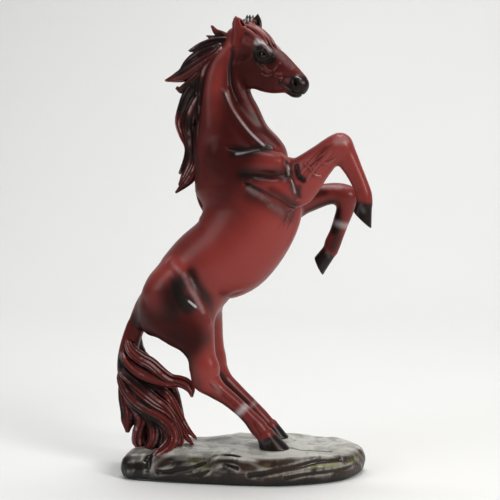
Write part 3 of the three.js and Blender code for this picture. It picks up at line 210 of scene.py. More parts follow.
def merged(form, additions):
    """Blends fields into a form, each worked out at its own points and with its own softness."""
    for field, points, softness in additions:
        form = smooth_min(form, field(points), softness)
    return form


def joined(sweeps, radius):
    """One field for many thin sweeps, each worked out only near itself."""
    def field(points):
        out = np.full(len(points), FAR)
        for sweep in sweeps:
            near = sweep.near(points)
            if len(near):
                out[near] = smooth_min(out[near], sweep.at(points[near]), radius)
        return out
    return field


def surface(field, low, high, cell):
    """The field's zero surface as four-sided faces, with its normals and its bend, above zero on ridges."""
    low = np.asarray(low, float)
    blocks = np.ceil((np.asarray(high) - low) / (cell * BLOCK)).astype(int)
    corners = np.stack(np.meshgrid(*[np.arange(n) for n in blocks], indexing="ij"), -1).reshape(-1, 3)
    middle = field(low + (corners + 0.5) * cell * BLOCK)
    near = (np.abs(middle) < BLOCK_REACH * BLOCK * cell + BLOCK_MARGIN).reshape(blocks)
    sign = np.where(middle < 0, -1.0, 1.0).reshape(blocks).astype(np.float32)

    def spread(grid):
        for axis in range(3):
            grid = np.repeat(grid, BLOCK, axis)
        return np.pad(grid, ((0, 1),) * 3, mode="edge")
    values, wanted = spread(sign), spread(near)
    places = np.argwhere(wanted)
    found = np.empty(len(places), np.float32)
    for start in range(0, len(places), CHUNK):
        found[start:start + CHUNK] = field(low + places[start:start + CHUNK] * cell)
    values[wanted] = found

    solid = values < 0
    nx, ny, nz = (n - 1 for n in solid.shape)
    count = np.zeros((nx, ny, nz), np.int8)
    steps = [np.array([i, j, k]) for i in (0, 1) for j in (0, 1) for k in (0, 1)]
    for i, j, k in steps:
        count += solid[i:nx + i, j:ny + j, k:nz + k]
    cells = np.argwhere((count > 0) & (count < len(steps)))
    number = np.full(count.shape, -1, np.int32)
    number[tuple(cells.T)] = np.arange(len(cells))
    sums, hits = np.zeros((len(cells), 3)), np.zeros(len(cells))
    for step in steps:
        for axis in np.flatnonzero(step == 0):
            other = step.copy()
            other[axis] = 1
            a, b = values[tuple((cells + step).T)], values[tuple((cells + other).T)]
            cross = (a < 0) != (b < 0)
            point = np.tile(step.astype(float), (cross.sum(), 1))
            point[:, axis] += a[cross] / (a[cross] - b[cross])
            sums[cross] += point
            hits[cross] += 1
    vertices = low + (cells + sums / hits[:, None]) * cell

    faces = []
    for axis, (u, v) in enumerate([(1, 2), (2, 0), (0, 1)]):
        first = [slice(1, -1)] * 3
        first[axis] = slice(0, -1)
        second = list(first)
        second[axis] = slice(1, None)
        offset = np.ones(3, int)
        offset[axis] = 0
        edges = np.argwhere(solid[tuple(first)] != solid[tuple(second)]) + offset
        du, dv = np.eye(3, dtype=int)[u], np.eye(3, dtype=int)[v]
        ring = np.stack([number[tuple((edges - back).T)] for back in (du + dv, dv, 0 * du, du)], 1)
        flip = ~solid[tuple(edges.T)]
        ring[flip] = ring[flip][:, ::-1]
        faces.append(ring)

    here = field(vertices)
    there = [(field(vertices + FEELER * axis), field(vertices - FEELER * axis)) for axis in np.eye(3)]
    slope = np.stack([ahead - behind for ahead, behind in there], 1) / (2 * FEELER)
    bend = sum(ahead + behind - 2 * here for ahead, behind in there) / FEELER ** 2
    steepness = np.maximum((slope ** 2).sum(1), LEAST_STEEPNESS)
    move = np.clip(here / steepness, -LONGEST_MOVE * cell, LONGEST_MOVE * cell)
    vertices = vertices - move[:, None] * slope
    return vertices, np.vstack(faces), unit(slope + TINY), bend


# The horse's stations: x, y, z, half thickness in the plane of the limb and half width across it
TRUNK = Sweep([[14, 0, 244, 19, 17], [12.5, 0, 229, 29, 22], [10, 0, 204, 34.5, 26],
               [-8, 0, 174, 34.5, 28], [-29, 0, 159, 30.2, 28.5], [-43, 0, 143.5, 29.2, 28.5],
               [-56, 0, 133.5, 25, 26], [-66, 0, 126.5, 17, 19]], steps=7)
NECK = Sweep([[-2, 0, 226, 36, 24], [-5.7, 0, 241, 33, 21.5], [-9.5, 0, 256, 30.5, 19],
              [-11.8, 0, 272.5, 25.5, 16], [-14, 0, 288, 20.5, 13.5], [-14, 0, 304, 17, 12],
              [-10, 0, 316, 14, 11], [-3.5, 0, 324, 11, 10.5]])
HAUNCH = Sweep([[-51.5, 14, 143, 24, 15], [-46.5, 15, 128.5, 26.5, 16], [-37.2, 16, 112.6, 19, 14],
                [-30.5, 16.5, 97.2, 11.9, 10.5], [-27, 17, 84, 9.6, 8.5], [-26, 17, 75, 9.4, 7.5]])
BUTTOCK = Sweep([[-69, 8, 115.5, 8.6, 8], [-60, 10, 116, 11, 10], [-50, 13, 114, 13, 12]])
DOCK = Sweep([[-58, 0, 132, 15, 14], [-70, 0, 127, 11.5, 10.5], [-78.6, 0, 120.5, 9, 8.5],
              [-83.4, 0, 112.5, 7.5, 7.4], [-84.4, 0, 109, 5.5]])
SCAPULA = Sweep([[-14, 13, 247, 9, 8], [-4, 15, 242, 12, 8], [6, 16, 236, 14, 8]])
UPPER_ARM = Sweep([[-4, 15, 240, 7, 6], [9, 18, 240.5, 8.5, 7.5], [23, 19, 239.5, 8.6, 7.5],
                   [35, 17, 236.5, 8, 6.5]])
RIGHT_TRICEPS = Sweep([[4, -17, 228, 5, 4], [14, -19.5, 225, 7.5, 6.5], [27, -20, 221, 9, 7],
                       [38, -17, 215, 9, 6.5]])
LEFT_TRICEPS = Sweep([[4, 17, 226, 5, 4], [14, 19, 219, 7.5, 6.5], [26, 19.5, 209, 8.5, 7],
                      [35, 18, 203, 8, 6.5]])
RIGHT_FOREARM = Sweep([[30, -13, 222, 15, 9], [40, -16, 224.5, 17.8, 10.5], [47.5, -18, 229.5, 16, 10.5],
                       [55.5, -19.5, 237, 13, 10], [63, -20, 244, 11, 9.2], [69.5, -20, 250, 9.6, 8.8],
                       [75, -20, 253, 9, 8.3]])
RIGHT_FORE_CANNON = Sweep([[74.5, -20, 252.5, 9.4, 8.2], [79.5, -20, 245, 8.3, 7.2],
                           [85.2, -20, 235, 6.6, 6.1], [90, -20, 225, 5.9, 5.7], [92.6, -20, 217, 6.1, 6],
                           [93.3, -20, 211, 5.6]])
LEFT_FOREARM = Sweep([[12, 16, 214, 16, 11], [32, 18, 208, 13, 11], [46, 18, 210.5, 10, 9.5],
                      [60, 18, 214.5, 8.4, 8.3], [70, 18, 215.5, 8], [76, 18, 213.5, 8.2, 7.8]])
LEFT_FORE_CANNON = Sweep([[75.7, 18, 213, 8.4, 7.7], [75.3, 18, 204, 6.9, 6.6], [72.5, 18, 195, 6.1, 5.9],
                          [69, 18, 185, 5.8, 5.7], [66, 18, 177.5, 6.2, 5.9], [64.5, 18, 172.5, 5.7, 5.4]])
RIGHT_HIND = Sweep([[-27, -17, 84, 10.5, 8], [-25.5, -17, 75, 9.3, 7.4], [-18.5, -17, 68.5, 7.6, 6.6],
                    [-9.5, -17, 62.3, 6.2, 5.9], [0.5, -17, 54.3, 5.6, 5.5], [8, -17, 47.2, 5.7, 5.6],
                    [14, -17, 40.5, 6.7, 6.2], [19.5, -17, 33.7, 6, 5.8]])
LEFT_HIND = Sweep([[-29.5, 17, 84, 10, 8], [-26.5, 17, 75.2, 9, 7.4], [-19.5, 17, 68.5, 7.4, 6.6],
                   [-7.5, 17, 58.2, 5.9, 5.7], [3, 17, 48.5, 5.5, 5.4], [11, 17, 39.2, 6.4, 6.1],
                   [18, 17, 31.5, 5.8, 5.7]])
BREAST = Lump([17, 7, 228], [12, 11, 15], tip=-20)
RIGHT_EAR = Sweep([[-3, -8, 325, 3.4, 3.2], [-2.6, -8.6, 331, 4, 3.2], [-1.8, -9, 336, 4.8, 2.8],
                   [-1.8, -9.2, 339.8, 5, 2.4], [-2.9, -9, 343.4, 4.2, 2], [-3.8, -8.8, 345.8, 2.3, 1.3],
                   [-4.1, -8.6, 347, 0.8, 0.7]])
LEFT_EAR = Sweep([[7, 5, 330, 3.8, 3.6], [7.6, 6.2, 335.5, 4.4, 3.4], [8.2, 7, 340.5, 4.6, 3],
                  [8.8, 7.6, 344.5, 3.8, 2.4], [9.3, 8, 347.4, 2.2, 1.6], [9.5, 8, 349.2, 0.8]])
RIGHT_EAR_CUP = Sweep([[2.6, -9.6, 333, 0.8, 1], [2.4, -9.8, 338, 1.5, 1.4], [-0.2, -9.6, 343.5, 0.9]])
LEFT_EAR_CUP = Sweep([[8.8, 3.6, 334.5, 1.5, 1.6], [9.4, 4, 340.4, 2.4, 1.8], [9.6, 5.2, 345.4, 1.2]])


def wisps(rows):
    """Short thin sweeps, for the hair on the head."""
    return [Sweep(stations, steps=4, reach=6) for stations in rows]


TUFT = wisps([
    [[2, 0, 332, 3], [2.2, 1.4, 340, 2.8, 2.6], [2.2, 2.4, 345.4, 1.6, 1.5], [2.4, 2.8, 348.6, 0.5]],
    [[3.6, 0, 332, 3], [3.9, 1.4, 341, 2.8, 2.6], [4.2, 2.4, 346, 1.6, 1.5], [4.4, 2.6, 348.6, 0.5]],
    [[5.2, 0, 332, 3], [5.8, 1.6, 341, 2.8, 2.6], [6.3, 2.8, 345.8, 1.5, 1.4], [6.8, 3, 348.4, 0.5]],
    [[0.6, -1, 332, 2.6], [0.6, 0.4, 338, 2.4], [0.2, 1.4, 343, 1.3], [0, 1.8, 345.6, 0.5]],
    [[3.4, -2, 332, 2.4], [3.4, -1.4, 339, 2.2], [3.6, -0.6, 344.4, 1], [3.8, -0.4, 346.4, 0.4]],
])
# A hoof's flare and narrowness, how far it runs on past its sole before the cut, and how round its edge is
HOOF_FLARE = 1.16
HOOF_NARROWNESS = 0.9
HOOF_OVERRUN = 0.6
SOLE_ROUNDING = 0.8


def hoof(crown, sole, facing, crown_radius, sole_radius):
    """A flared stub cut flat by its sole."""
    crown, sole, facing = np.array(crown, float), np.array(sole, float), unit(np.array(facing, float))
    low, low_radius = sole + HOOF_OVERRUN * (sole - crown), HOOF_FLARE * sole_radius
    stub = Sweep([[*crown, crown_radius, crown_radius],
                  [*sole, sole_radius, HOOF_NARROWNESS * sole_radius],
                  [*low, low_radius, HOOF_NARROWNESS * low_radius]])
    return lambda points: smooth_max(stub(points), (points - sole) @ facing, SOLE_ROUNDING)


RIGHT_FORE_HOOF = hoof([93.3, -20, 212.5], [91.2, -20, 199.4], [-0.68, 0, -0.735], 5.5, 7.4)
LEFT_FORE_HOOF = hoof([64.2, 18, 172.4], [55, 18, 159.6], [-0.9, 0, -0.44], 5.6, 6.6)
RIGHT_HIND_HOOF = hoof([20.2, -17, 34], [25.2, -17, 24.6], [0, 0, -1], 6.8, 10.4)
LEFT_HIND_HOOF = hoof([18.5, 17, 32.5], [22.5, 17, 24.6], [0, 0, -1], 6.2, 8.2)

# How softly the forms run into each other, in millimetres
KNEE = 4
CORONET = 1.0
TRICEPS_BLEND = 3
POLL_BLEND = 3
EAR_BLEND = 2.4
TUFT_BLEND = 0.8
CUP_ROUNDING = 0.8
# Each leg: its uppermost form, what is blended on below it, and how softly it runs into the body
LEGS = [
    (RIGHT_FOREARM, [(RIGHT_FORE_CANNON, KNEE), (RIGHT_FORE_HOOF, CORONET)], 4),
    (LEFT_FOREARM, [(LEFT_FORE_CANNON, KNEE), (LEFT_FORE_HOOF, CORONET)], 6),
    (RIGHT_HIND, [(RIGHT_HIND_HOOF, CORONET)], 6),
    (LEFT_HIND, [(LEFT_HIND_HOOF, CORONET)], 6),
]

# The left arm hangs lower than the right, by this much for each millimetre forward of the withers
ARM_DROP = 0.55
WITHERS_X = -4

# Carving on the arms and shoulders, alike on both sides; a height above zero cuts in
ARM_CARVING = [
    Line(1.8, 1.5, [-8, 20, 250.5], [0, 22, 249.5], [9, 21, 250], [17, 18.5, 251.4], [27, 16, 251]),
    Line(3.4, 1.3, [2, 24, 232], [10, 25, 231.6], [20, 25, 231.2], [31, 24.5, 231.6], [38, 26, 232]),
    Line(1.5, 2.2, [6, 24, 225], [12, 25.4, 222.4], [18.5, 26, 219.6], [26, 25, 214.4], [33, 23, 209],
         [40, 18, 205.5]),
    Line(1.2, 1.1, [34, 17, 250], [37, 21.5, 245], [39.3, 24.6, 238.8], [40.4, 26.7, 231.7],
         [43.2, 27.2, 223.7], [46.5, 25, 215.6]),
    Line(1.7, 2.2, [43.4, 27.5, 238], [45, 28.3, 232]),
    Line(1.7, 1.3, [45, 28.3, 233], [49.5, 28.8, 228]),
    Line(1.6, -1.3, [31, 18, 249], [34.6, 21.5, 244], [36.6, 24.4, 238], [37.4, 26, 232]),
    Line(1.4, -1.1, [39.5, 26.8, 228], [41.2, 26.8, 221], [44, 25, 214]),
    Line(2.0, -1.2, [10, 20, 246.5], [20, 20, 247], [28, 19, 246.5], [33, 19.5, 243.5]),
    Line(2.2, -0.8, [12, 24.5, 227.5], [20, 25.5, 223], [30, 25.5, 216.5], [38, 22.5, 211]),
    Line(5.0, 0.7, [8, 23, 237], [20, 24, 237.4], [32, 23, 237.6]),
]

# Carving on the neck, chest, flank and legs, alike on both sides
BODY_CARVING = [
    Line(2.2, 1.7, [-6, 10.6, 322], [-7.7, 9.4, 308], [-6.5, 10.6, 294.8], [-2, 11.4, 285.3]),
    Line(2.8, 0.7, [-2, 11.4, 285.3], [3.9, 12.4, 277.2], [10, 12.6, 270], [17, 12, 262.5],
         [28, 10, 252.8]),
    Line(3.3, -2.0, [-10.5, 14, 292], [-7.4, 15.4, 284], [-3.4, 16.2, 277.2], [4.8, 16.2, 266.2],
         [12.8, 16.2, 257.8], [18, 17.2, 252.6], [25, 16, 252]),
    Line(3.4, 1.0, [-15, 15, 290], [-12, 17, 281], [-8, 18, 273], [0, 18.6, 262], [7, 19, 254.5]),
    Line(2.8, -0.9, [1, 6, 294], [6, 6, 284], [14, 6, 270], [23, 5, 257]),
    Line(6.0, -0.8, [-21, 12, 312], [-26, 14, 292], [-24, 18, 268]),
    Line(1.1, 0.8, [-15, 7, 326], [-22, 8, 318], [-28, 8, 305], [-31, 9, 288], [-32, 10, 266],
         [-30, 12, 240]),
    Line(4.0, -1.5, [-52, 21, 165], [-44, 27, 160], [-37, 30, 152], [-30.6, 30, 140], [-25.5, 27, 129.5],
         [-22, 24, 120]),
    Line(8.0, 1.5, [-47, 31, 151], [-44, 32, 141], [-38, 31, 132]),
    Line(6.0, 1.0, [-34, 29, 159], [-28, 29, 149], [-21, 25, 137], [-17.5, 22, 128]),
    Line(1.1, -1.2, [-37, 31, 138.4], [-33.2, 30.6, 134.8], [-29.4, 29.4, 131.4]),
    Line(2.6, 0.7, [-15, 19, 124], [-11, 18, 132], [-6, 15, 139], [2, 10, 147]),
    Line(0.9, -0.8, [38, 17.4, 207], [41.5, 13, 202], [39, 14, 196], [36.4, 15, 189.5]),
    Line(0.8, -0.7, [41, 11, 208], [37, 16.4, 201], [34.4, 18.4, 193], [33, 19, 186]),
    Line(0.8, -0.6, [36, 17.6, 198], [32, 20, 194], [28, 22, 186]),
    Line(7.0, 0.8, [-56, 24, 122], [-48, 28, 113], [-38, 28, 105], [-30, 26, 101]),
    Line(1.5, 0.7, [-30, 24.4, 84], [-22, 24, 74], [-13, 23.2, 66.5], [-3, 22.8, 58]),
    Line(2.0, -0.8, [-36, 17, 82], [-34, 17, 76], [-30, 17, 71]),
    Line(1.2, 0.5, [12, 22.8, 45], [15, 23.2, 39.5], [17.4, 23, 36]),
]

# Veins and tendons that only one side shows
FOREARM_CARVING = [
    Line(1.0, -1.3, [46, -28.6, 231], [50.5, -29, 236], [55.6, -28.8, 242], [62, -27.6, 248.6],
         [70, -27, 254]),
    Line(1.0, -1.3, [52, -29, 228], [55.6, -29.4, 233.6], [60, -29.4, 239], [66, -29, 244.6],
         [71, -28.6, 250.4]),
    Line(0.9, -1.2, [50.5, -28.6, 240], [55, -29.4, 236], [58, -28.8, 231.6], [62, -27.6, 230.6]),
    Line(0.9, -1.1, [58.5, -29.2, 238.6], [60, -27.6, 245], [66, -26.6, 252]),
    Line(0.9, -1.1, [62, -29.2, 241], [67, -28.4, 240.6], [72, -27.6, 243.6]),
    Line(0.9, 0.9, [53, -29.4, 236.6], [57.5, -29.4, 241], [63, -28.8, 245.4]),
    Line(0.8, -0.7, [48, 27, 208], [55, 26.8, 212], [62, 26.2, 216.4], [70, 25.4, 219]),
    Line(0.8, -0.7, [50, 27.4, 213], [56, 26.8, 209.6], [64, 26, 211], [71, 25.6, 214]),
    Line(1.4, 0.6, [82, -26.6, 236], [85.6, -25.8, 228], [88.4, -25.6, 220]),
    Line(1.4, 0.6, [73, 24.2, 201], [70, 23.8, 191], [67, 23.6, 182]),
]

# The head in its own frame: along the face, to the side, towards the forehead
HEAD_PLACE = np.array([-2.0, 0.0, 328.0])
HEAD_TURN = math.radians(18)
HEAD_PITCH = math.radians(39)
FACE = Sweep([[-4, 0, 0, 10, 9.4], [5, 0, 3.6, 12.2, 10.6], [14, 0, 6.5, 11.8, 11],
              [23, 0, 6.8, 9.3, 10.2], [33, 0, 7.8, 9, 7.6], [44, 0, 7.6, 8.4, 6], [53.5, 0, 7, 7.8, 6],
              [58.2, 0, 6.2, 6.6, 5.6]])
JOWL = Sweep([[17, 6.2, -5, 15, 4.2], [22, 5.6, -9, 12.5, 3.8]])
JOWL_CORNER = Lump([25, 4.4, -13.5], [6.5, 3.8, 8])
CHEEK = Sweep([[20, 6.5, 2, 9, 3.6], [30, 5.2, 0, 9, 3.4], [42, 3.6, 1.5, 6.5, 2.8]])
JAW = Sweep([[20, 0, -10, 9, 6.5], [30, 0, -10.5, 8, 6], [40, 0, -7.2, 6.4, 4.8], [49, 0, -1.6, 4.9, 4.4],
             [55.5, 0, -0.2, 4, 4.4]])
BROW = Sweep([[18, 8.8, 12.5, 2.2, 2.0], [23.5, 10.2, 12.6, 2.4, 2.0], [28.5, 8.8, 10.8, 1.7, 1.6]],
             reach=8)
MUZZLE = Lump([58.3, 0, 5.6], [5.2, 6.1, 7.2], tip=10)
NOSTRIL_RIM = Lump([55.5, 4.2, 8.2], [4.2, 2.8, 3.8], tip=-20)
NOSTRIL = Lump([56.4, 6.4, 7.8], [2.7, 2.4, 1.7], tip=-38)
EYE_SOCKET = Lump([24.4, 12.6, 8.1], [4, 3.4, 2.3], tip=18)
LOWER_LIP = Sweep([[53, 2.2, -1.6, 2.2, 2.4], [58, 1.8, -0.6, 2.6], [60.6, 0, 0.2, 2, 2.2]], reach=8)
HEAD_CARVING = [
    Line(1.1, -1.7, [19.2, 10.2, 6.2], [21.6, 11.4, 10], [25.4, 11.4, 11.4], [29.2, 9.8, 9.6]),
    Line(1.0, -1.3, [19.2, 10.2, 6.2], [22.6, 11, 4.9], [26.4, 10.6, 5.8], [29.4, 9.8, 9]),
    Line(0.8, 0.8, [18, 10.6, 10.6], [21.4, 11, 13.6], [25.8, 11, 14.2]),
    Line(0.8, 0.6, [19.6, 11, 3.4], [24, 10.8, 2.2], [28.6, 10.2, 3.6]),
    Line(0.7, 1.0, [46.6, 5.6, -0.2], [50.9, 5.5, 0.8], [57.1, 5.6, 1.4], [61.5, 4, 1.9], [64, 0, 2.2]),
    Line(1.4, 0.9, [45.4, 5.4, -0.6], [46.6, 5.6, 0.6]),
    Line(1.6, -0.9, [26, 10.4, 0.4], [32, 9.6, 0.2], [38, 8.2, 1.8], [43, 6.8, 5.4]),
    Line(0.75, -1.1, [28.8, 10.4, 2.4], [33.2, 9.5, 1.8], [36.3, 8.6, 2.6], [37.8, 7.8, 5.6],
         [37.6, 6.6, 10.4]),
    Line(0.75, -1.0, [38, 8, 3.6], [38, 8, 0.2], [35, 8, -3], [31.6, 8.6, -3.6]),
    Line(0.75, -0.9, [36.3, 8.6, 2.6], [41, 7.2, 1.4], [45.4, 6.2, 2.8]),
    Line(1.2, 0.6, [31, 9.8, -9], [33.6, 9.2, -4], [32.4, 9.8, -1.2]),
    Line(2.4, 0.8, [46, 6, 5], [49, 5.6, 6.6], [51.5, 5.6, 8]),
    Line(0.8, -0.7, [53.4, 6.8, 10.4], [56.4, 6.6, 11.4], [59.2, 5.4, 9.6]),
    Line(0.9, 0.7, [60.4, 4.4, 5.6], [61.4, 4, 3.4]),
    Line(1.6, 0.9, [8, 11.6, 9], [12.6, 11.4, 12], [16, 10.4, 14]),
]
FORELOCK = wisps([
    [[-2, -0.5, 15.4, 2], [7, 0, 17.6, 1.9], [16, 0, 17.9, 1.6], [24, -1.6, 16.8, 1.2],
     [30, -3.2, 15, 0.4]],
    [[-2, -4, 14, 1.8], [6, -4.6, 16.4, 1.8, 1.7], [13.5, -5, 16.8, 1.4], [20.6, -6.6, 15.4, 0.4]],
    [[-1.5, -7.4, 11.6, 1.7, 1.6], [4.5, -8.4, 13.6, 1.6, 1.5], [10.6, -8.8, 13.6, 1.3],
     [16.4, -9.6, 12.2, 0.4]],
    [[-1, -2.4, 15.6, 1.5], [8, -2.6, 17.8, 1.3], [17, -3.6, 17.4, 1.1], [26, -5.4, 15.4, 0.4]],
    [[-1.5, 3.6, 14.4, 1.8], [7, 3.4, 17.2, 1.6], [15.4, 3.6, 17, 1.2], [22, 4.6, 15.8, 0.4]],
    [[-1.5, 7, 12, 1.6], [5, 7.8, 14, 1.5], [12, 8.2, 14, 1.1], [17.5, 8.6, 12.8, 0.4]],
])
FORELOCK_BLEND = 0.9
WISP_BLEND = 0.5
TUFT_WISP_BLEND = 0.6


def head_axes():
    """Rows: along the face, to the left side, towards the forehead."""
    turn, pitch = Matrix.Rotation(-HEAD_TURN, 3, "Z"), Matrix.Rotation(HEAD_PITCH, 3, "Y")
    return np.array((turn @ pitch).transposed())


HEAD_AXES = head_axes()


def in_head(points):
    return (points - HEAD_PLACE) @ HEAD_AXES.T


def one_side(points):
    return np.stack([points[:, 0], np.abs(points[:, 1]), points[:, 2]], 1)


def skull(points):
    head = in_head(points)
    half = one_side(head)
    form = merged(FACE(head), [(JAW, head, 5), (JOWL, half, 4), (JOWL_CORNER, half, 4), (CHEEK, half, 5),
                               (BROW, half, 2), (MUZZLE, head, 4), (LOWER_LIP, half, 1.6),
                               (NOSTRIL_RIM, half, 2)])
    for hollow, rounding in ((NOSTRIL, 0.8), (EYE_SOCKET, 1.0)):
        form = smooth_max(form, -hollow(half), rounding)
    form = form + total(HEAD_CARVING, half)
    return merged(form, [(joined(FORELOCK, WISP_BLEND), head, FORELOCK_BLEND)])


def arm_side(points):
    half = one_side(points)
    left = points[:, 1] > 0
    half[left, 2] += ARM_DROP * np.maximum(points[left, 0] - WITHERS_X, 0)
    return half


def skin(points):
    """The whole horse without its mane and tail."""
    half, arm = one_side(points), arm_side(points)
    body = merged(TRUNK(points), [(NECK, points, 9), (HAUNCH, half, 12), (BUTTOCK, half, 8),
                                  (DOCK, points, 7), (BREAST, half, 9), (SCAPULA, half, 7),
                                  (UPPER_ARM, arm, 3.5)])
    body = smooth_min(body, np.minimum(RIGHT_TRICEPS(points), LEFT_TRICEPS(points)), TRICEPS_BLEND)
    horse = np.full(len(points), FAR)
    for top, below, softness in LEGS:
        leg = merged(top(points), [(form, points, blend) for form, blend in below])
        horse = np.minimum(horse, smooth_min(body, leg, softness))
    horse = horse + total(ARM_CARVING, arm) + total(BODY_CARVING, half) + total(FOREARM_CARVING, points)
    ears = np.minimum(smooth_max(RIGHT_EAR(points), -RIGHT_EAR_CUP(points), CUP_ROUNDING),
                      smooth_max(LEFT_EAR(points), -LEFT_EAR_CUP(points), CUP_ROUNDING))
    ears = merged(ears, [(joined(TUFT, TUFT_WISP_BLEND), points, TUFT_BLEND)])
    return smooth_min(merged(horse, [(skull, points, POLL_BLEND)]), ears, EAR_BLEND)


# Locks of the mane and the tail, with stations as for the horse
MANE_LOCKS = [
    [[-9, -1, 330, 3.2], [-14, -1, 333, 3.2, 2.8], [-18, -1, 335, 2.8, 2.4], [-21, -1, 337, 2, 1.8],
     [-23.2, -1, 340.2, 0.6]],
    [[-14, -2, 330, 2.8, 2.6], [-21, -2, 331.4, 2.4, 2], [-26.2, -2, 333, 0.6]],
    [[-9, -2, 329, 4], [-19, -2, 329, 4.3, 4.2], [-28, -2, 327, 3.8, 4], [-34.6, -2, 324.6, 3, 2.8],
     [-40.2, -2, 322.6, 0.8]],
    [[-16, -3, 325, 4.5], [-29, -3, 321, 4.2], [-37.5, -3, 316.5, 3.8], [-43.5, -3, 312, 2.6],
     [-48, -2, 308, 0.8]],
    [[-18, -4, 321, 5, 4.5], [-31, -4, 313, 6.2, 4.6], [-42.5, -3, 306, 5.4, 4.2],
     [-51, -3, 302.6, 3.4, 3], [-58.5, -2, 300.5, 0.8]],
    [[-29, -4, 308, 4.4], [-36, -4, 301, 4.2, 4], [-42.5, -3, 296.5, 3.4, 3],
     [-47.5, -2, 293.5, 2.6, 2.4], [-50.5, -1, 295, 1.3, 1.2]],
    [[-30, -2, 303, 5, 4.6], [-40, -2, 291.5, 5.2, 4.6], [-45, -2, 280.5, 5, 4], [-49, -2, 269, 3.3, 3],
     [-46, -2, 259, 2.9, 2.8], [-42.5, -2, 251, 2.5], [-43.5, -2, 242, 2.3], [-48.5, -2, 231.5, 0.8]],
    [[-29, -4, 292, 4.5], [-37, -4, 280.5, 4.6, 4.4], [-41, -4, 268, 4.8, 4.2],
     [-39.5, -4, 257.5, 4.5, 4], [-38.5, -4, 246.5, 3.8, 3.6], [-41, -3, 237.5, 3.4, 3.2],
     [-45, -3, 228.5, 2.7, 2.6], [-49, -2, 222, 0.8]],
    [[-29, -3, 275, 4.2, 4.4], [-34, -4, 261, 3.6, 3.8], [-34, -5, 248, 3.6, 3.8],
     [-35, -4, 237.5, 4, 3.8], [-39.5, -4, 228.5, 4.2, 3.4], [-45.5, -3, 222, 2.8, 2.4],
     [-51, -2, 217, 0.8]],
    [[-28, -4, 256, 3.8, 4], [-31, -4, 242, 3, 3.4], [-32.5, -4, 233, 2.6, 2.8],
     [-34, -4, 223.5, 2.2, 2.4], [-34, -3, 216, 1.9, 2.2], [-32, -3, 208, 1.6, 1.8], [-29.5, -3, 202, 0.6]],
    [[-16, -4, 324, 4.5], [-27, -4, 312, 4.8], [-31, -4, 298, 4.8], [-32, -4, 282, 4.6, 4.8],
     [-31, -4, 265, 4.4, 4.6], [-29.5, -4, 248, 4, 4.2], [-29, -3, 232, 2.4, 3]],
    [[-12, 3, 326, 4.5], [-26, 4, 318, 4.8, 4.2], [-38, 4, 309, 4.4, 3.6], [-48, 3, 303, 0.8]],
    [[-26, 3, 306, 4.8, 4.4], [-36, 4, 294, 4.8, 4], [-43, 4, 283, 4, 3.4], [-46, 3, 272, 0.8]],
    [[-29, 3, 288, 4.6, 4.4], [-36, 4, 274, 4.6, 4], [-40, 4, 260, 3.8, 3.4], [-42, 3, 248, 0.8]],
    [[-28, 3, 266, 4.4], [-32, 4, 252, 4.2, 4], [-36, 4, 238, 3.8, 3.4], [-43, 3, 226, 0.8]],
]
TAIL_HEART = [
    [-77, 0, 122.5, 7.4], [-83.4, 0, 114, 7.4], [-87.2, 0, 105.5, 7.2, 7.4],
    [-90.2, 0, 95.5, 7.4, 8], [-91.9, 0, 85, 7.7, 9], [-91, 0, 75, 8.6, 10.2], [-88, 0, 64, 9.8, 11.2],
    [-83.5, 0, 52.5, 11, 11.8], [-77.5, 0, 41, 11.6, 12], [-73.5, 0, 31, 11, 11.4],
    [-72.5, 0, 22, 9.4, 9.6],
]
TAIL_WEBS = [
    [[-89, -3, 96, 4], [-80, -7, 86, 5.4, 4], [-70, -9, 79.5, 5.4, 4], [-61, -11, 75, 4.4, 3.6],
     [-53, -13, 72.5, 3, 2.6]],
    [[-88, -5, 80, 5], [-79, -8, 72, 5.5, 5], [-70, -10, 67, 5, 4.5], [-63, -11, 66, 3.6],
     [-59.5, -12, 66.5, 2]],
]
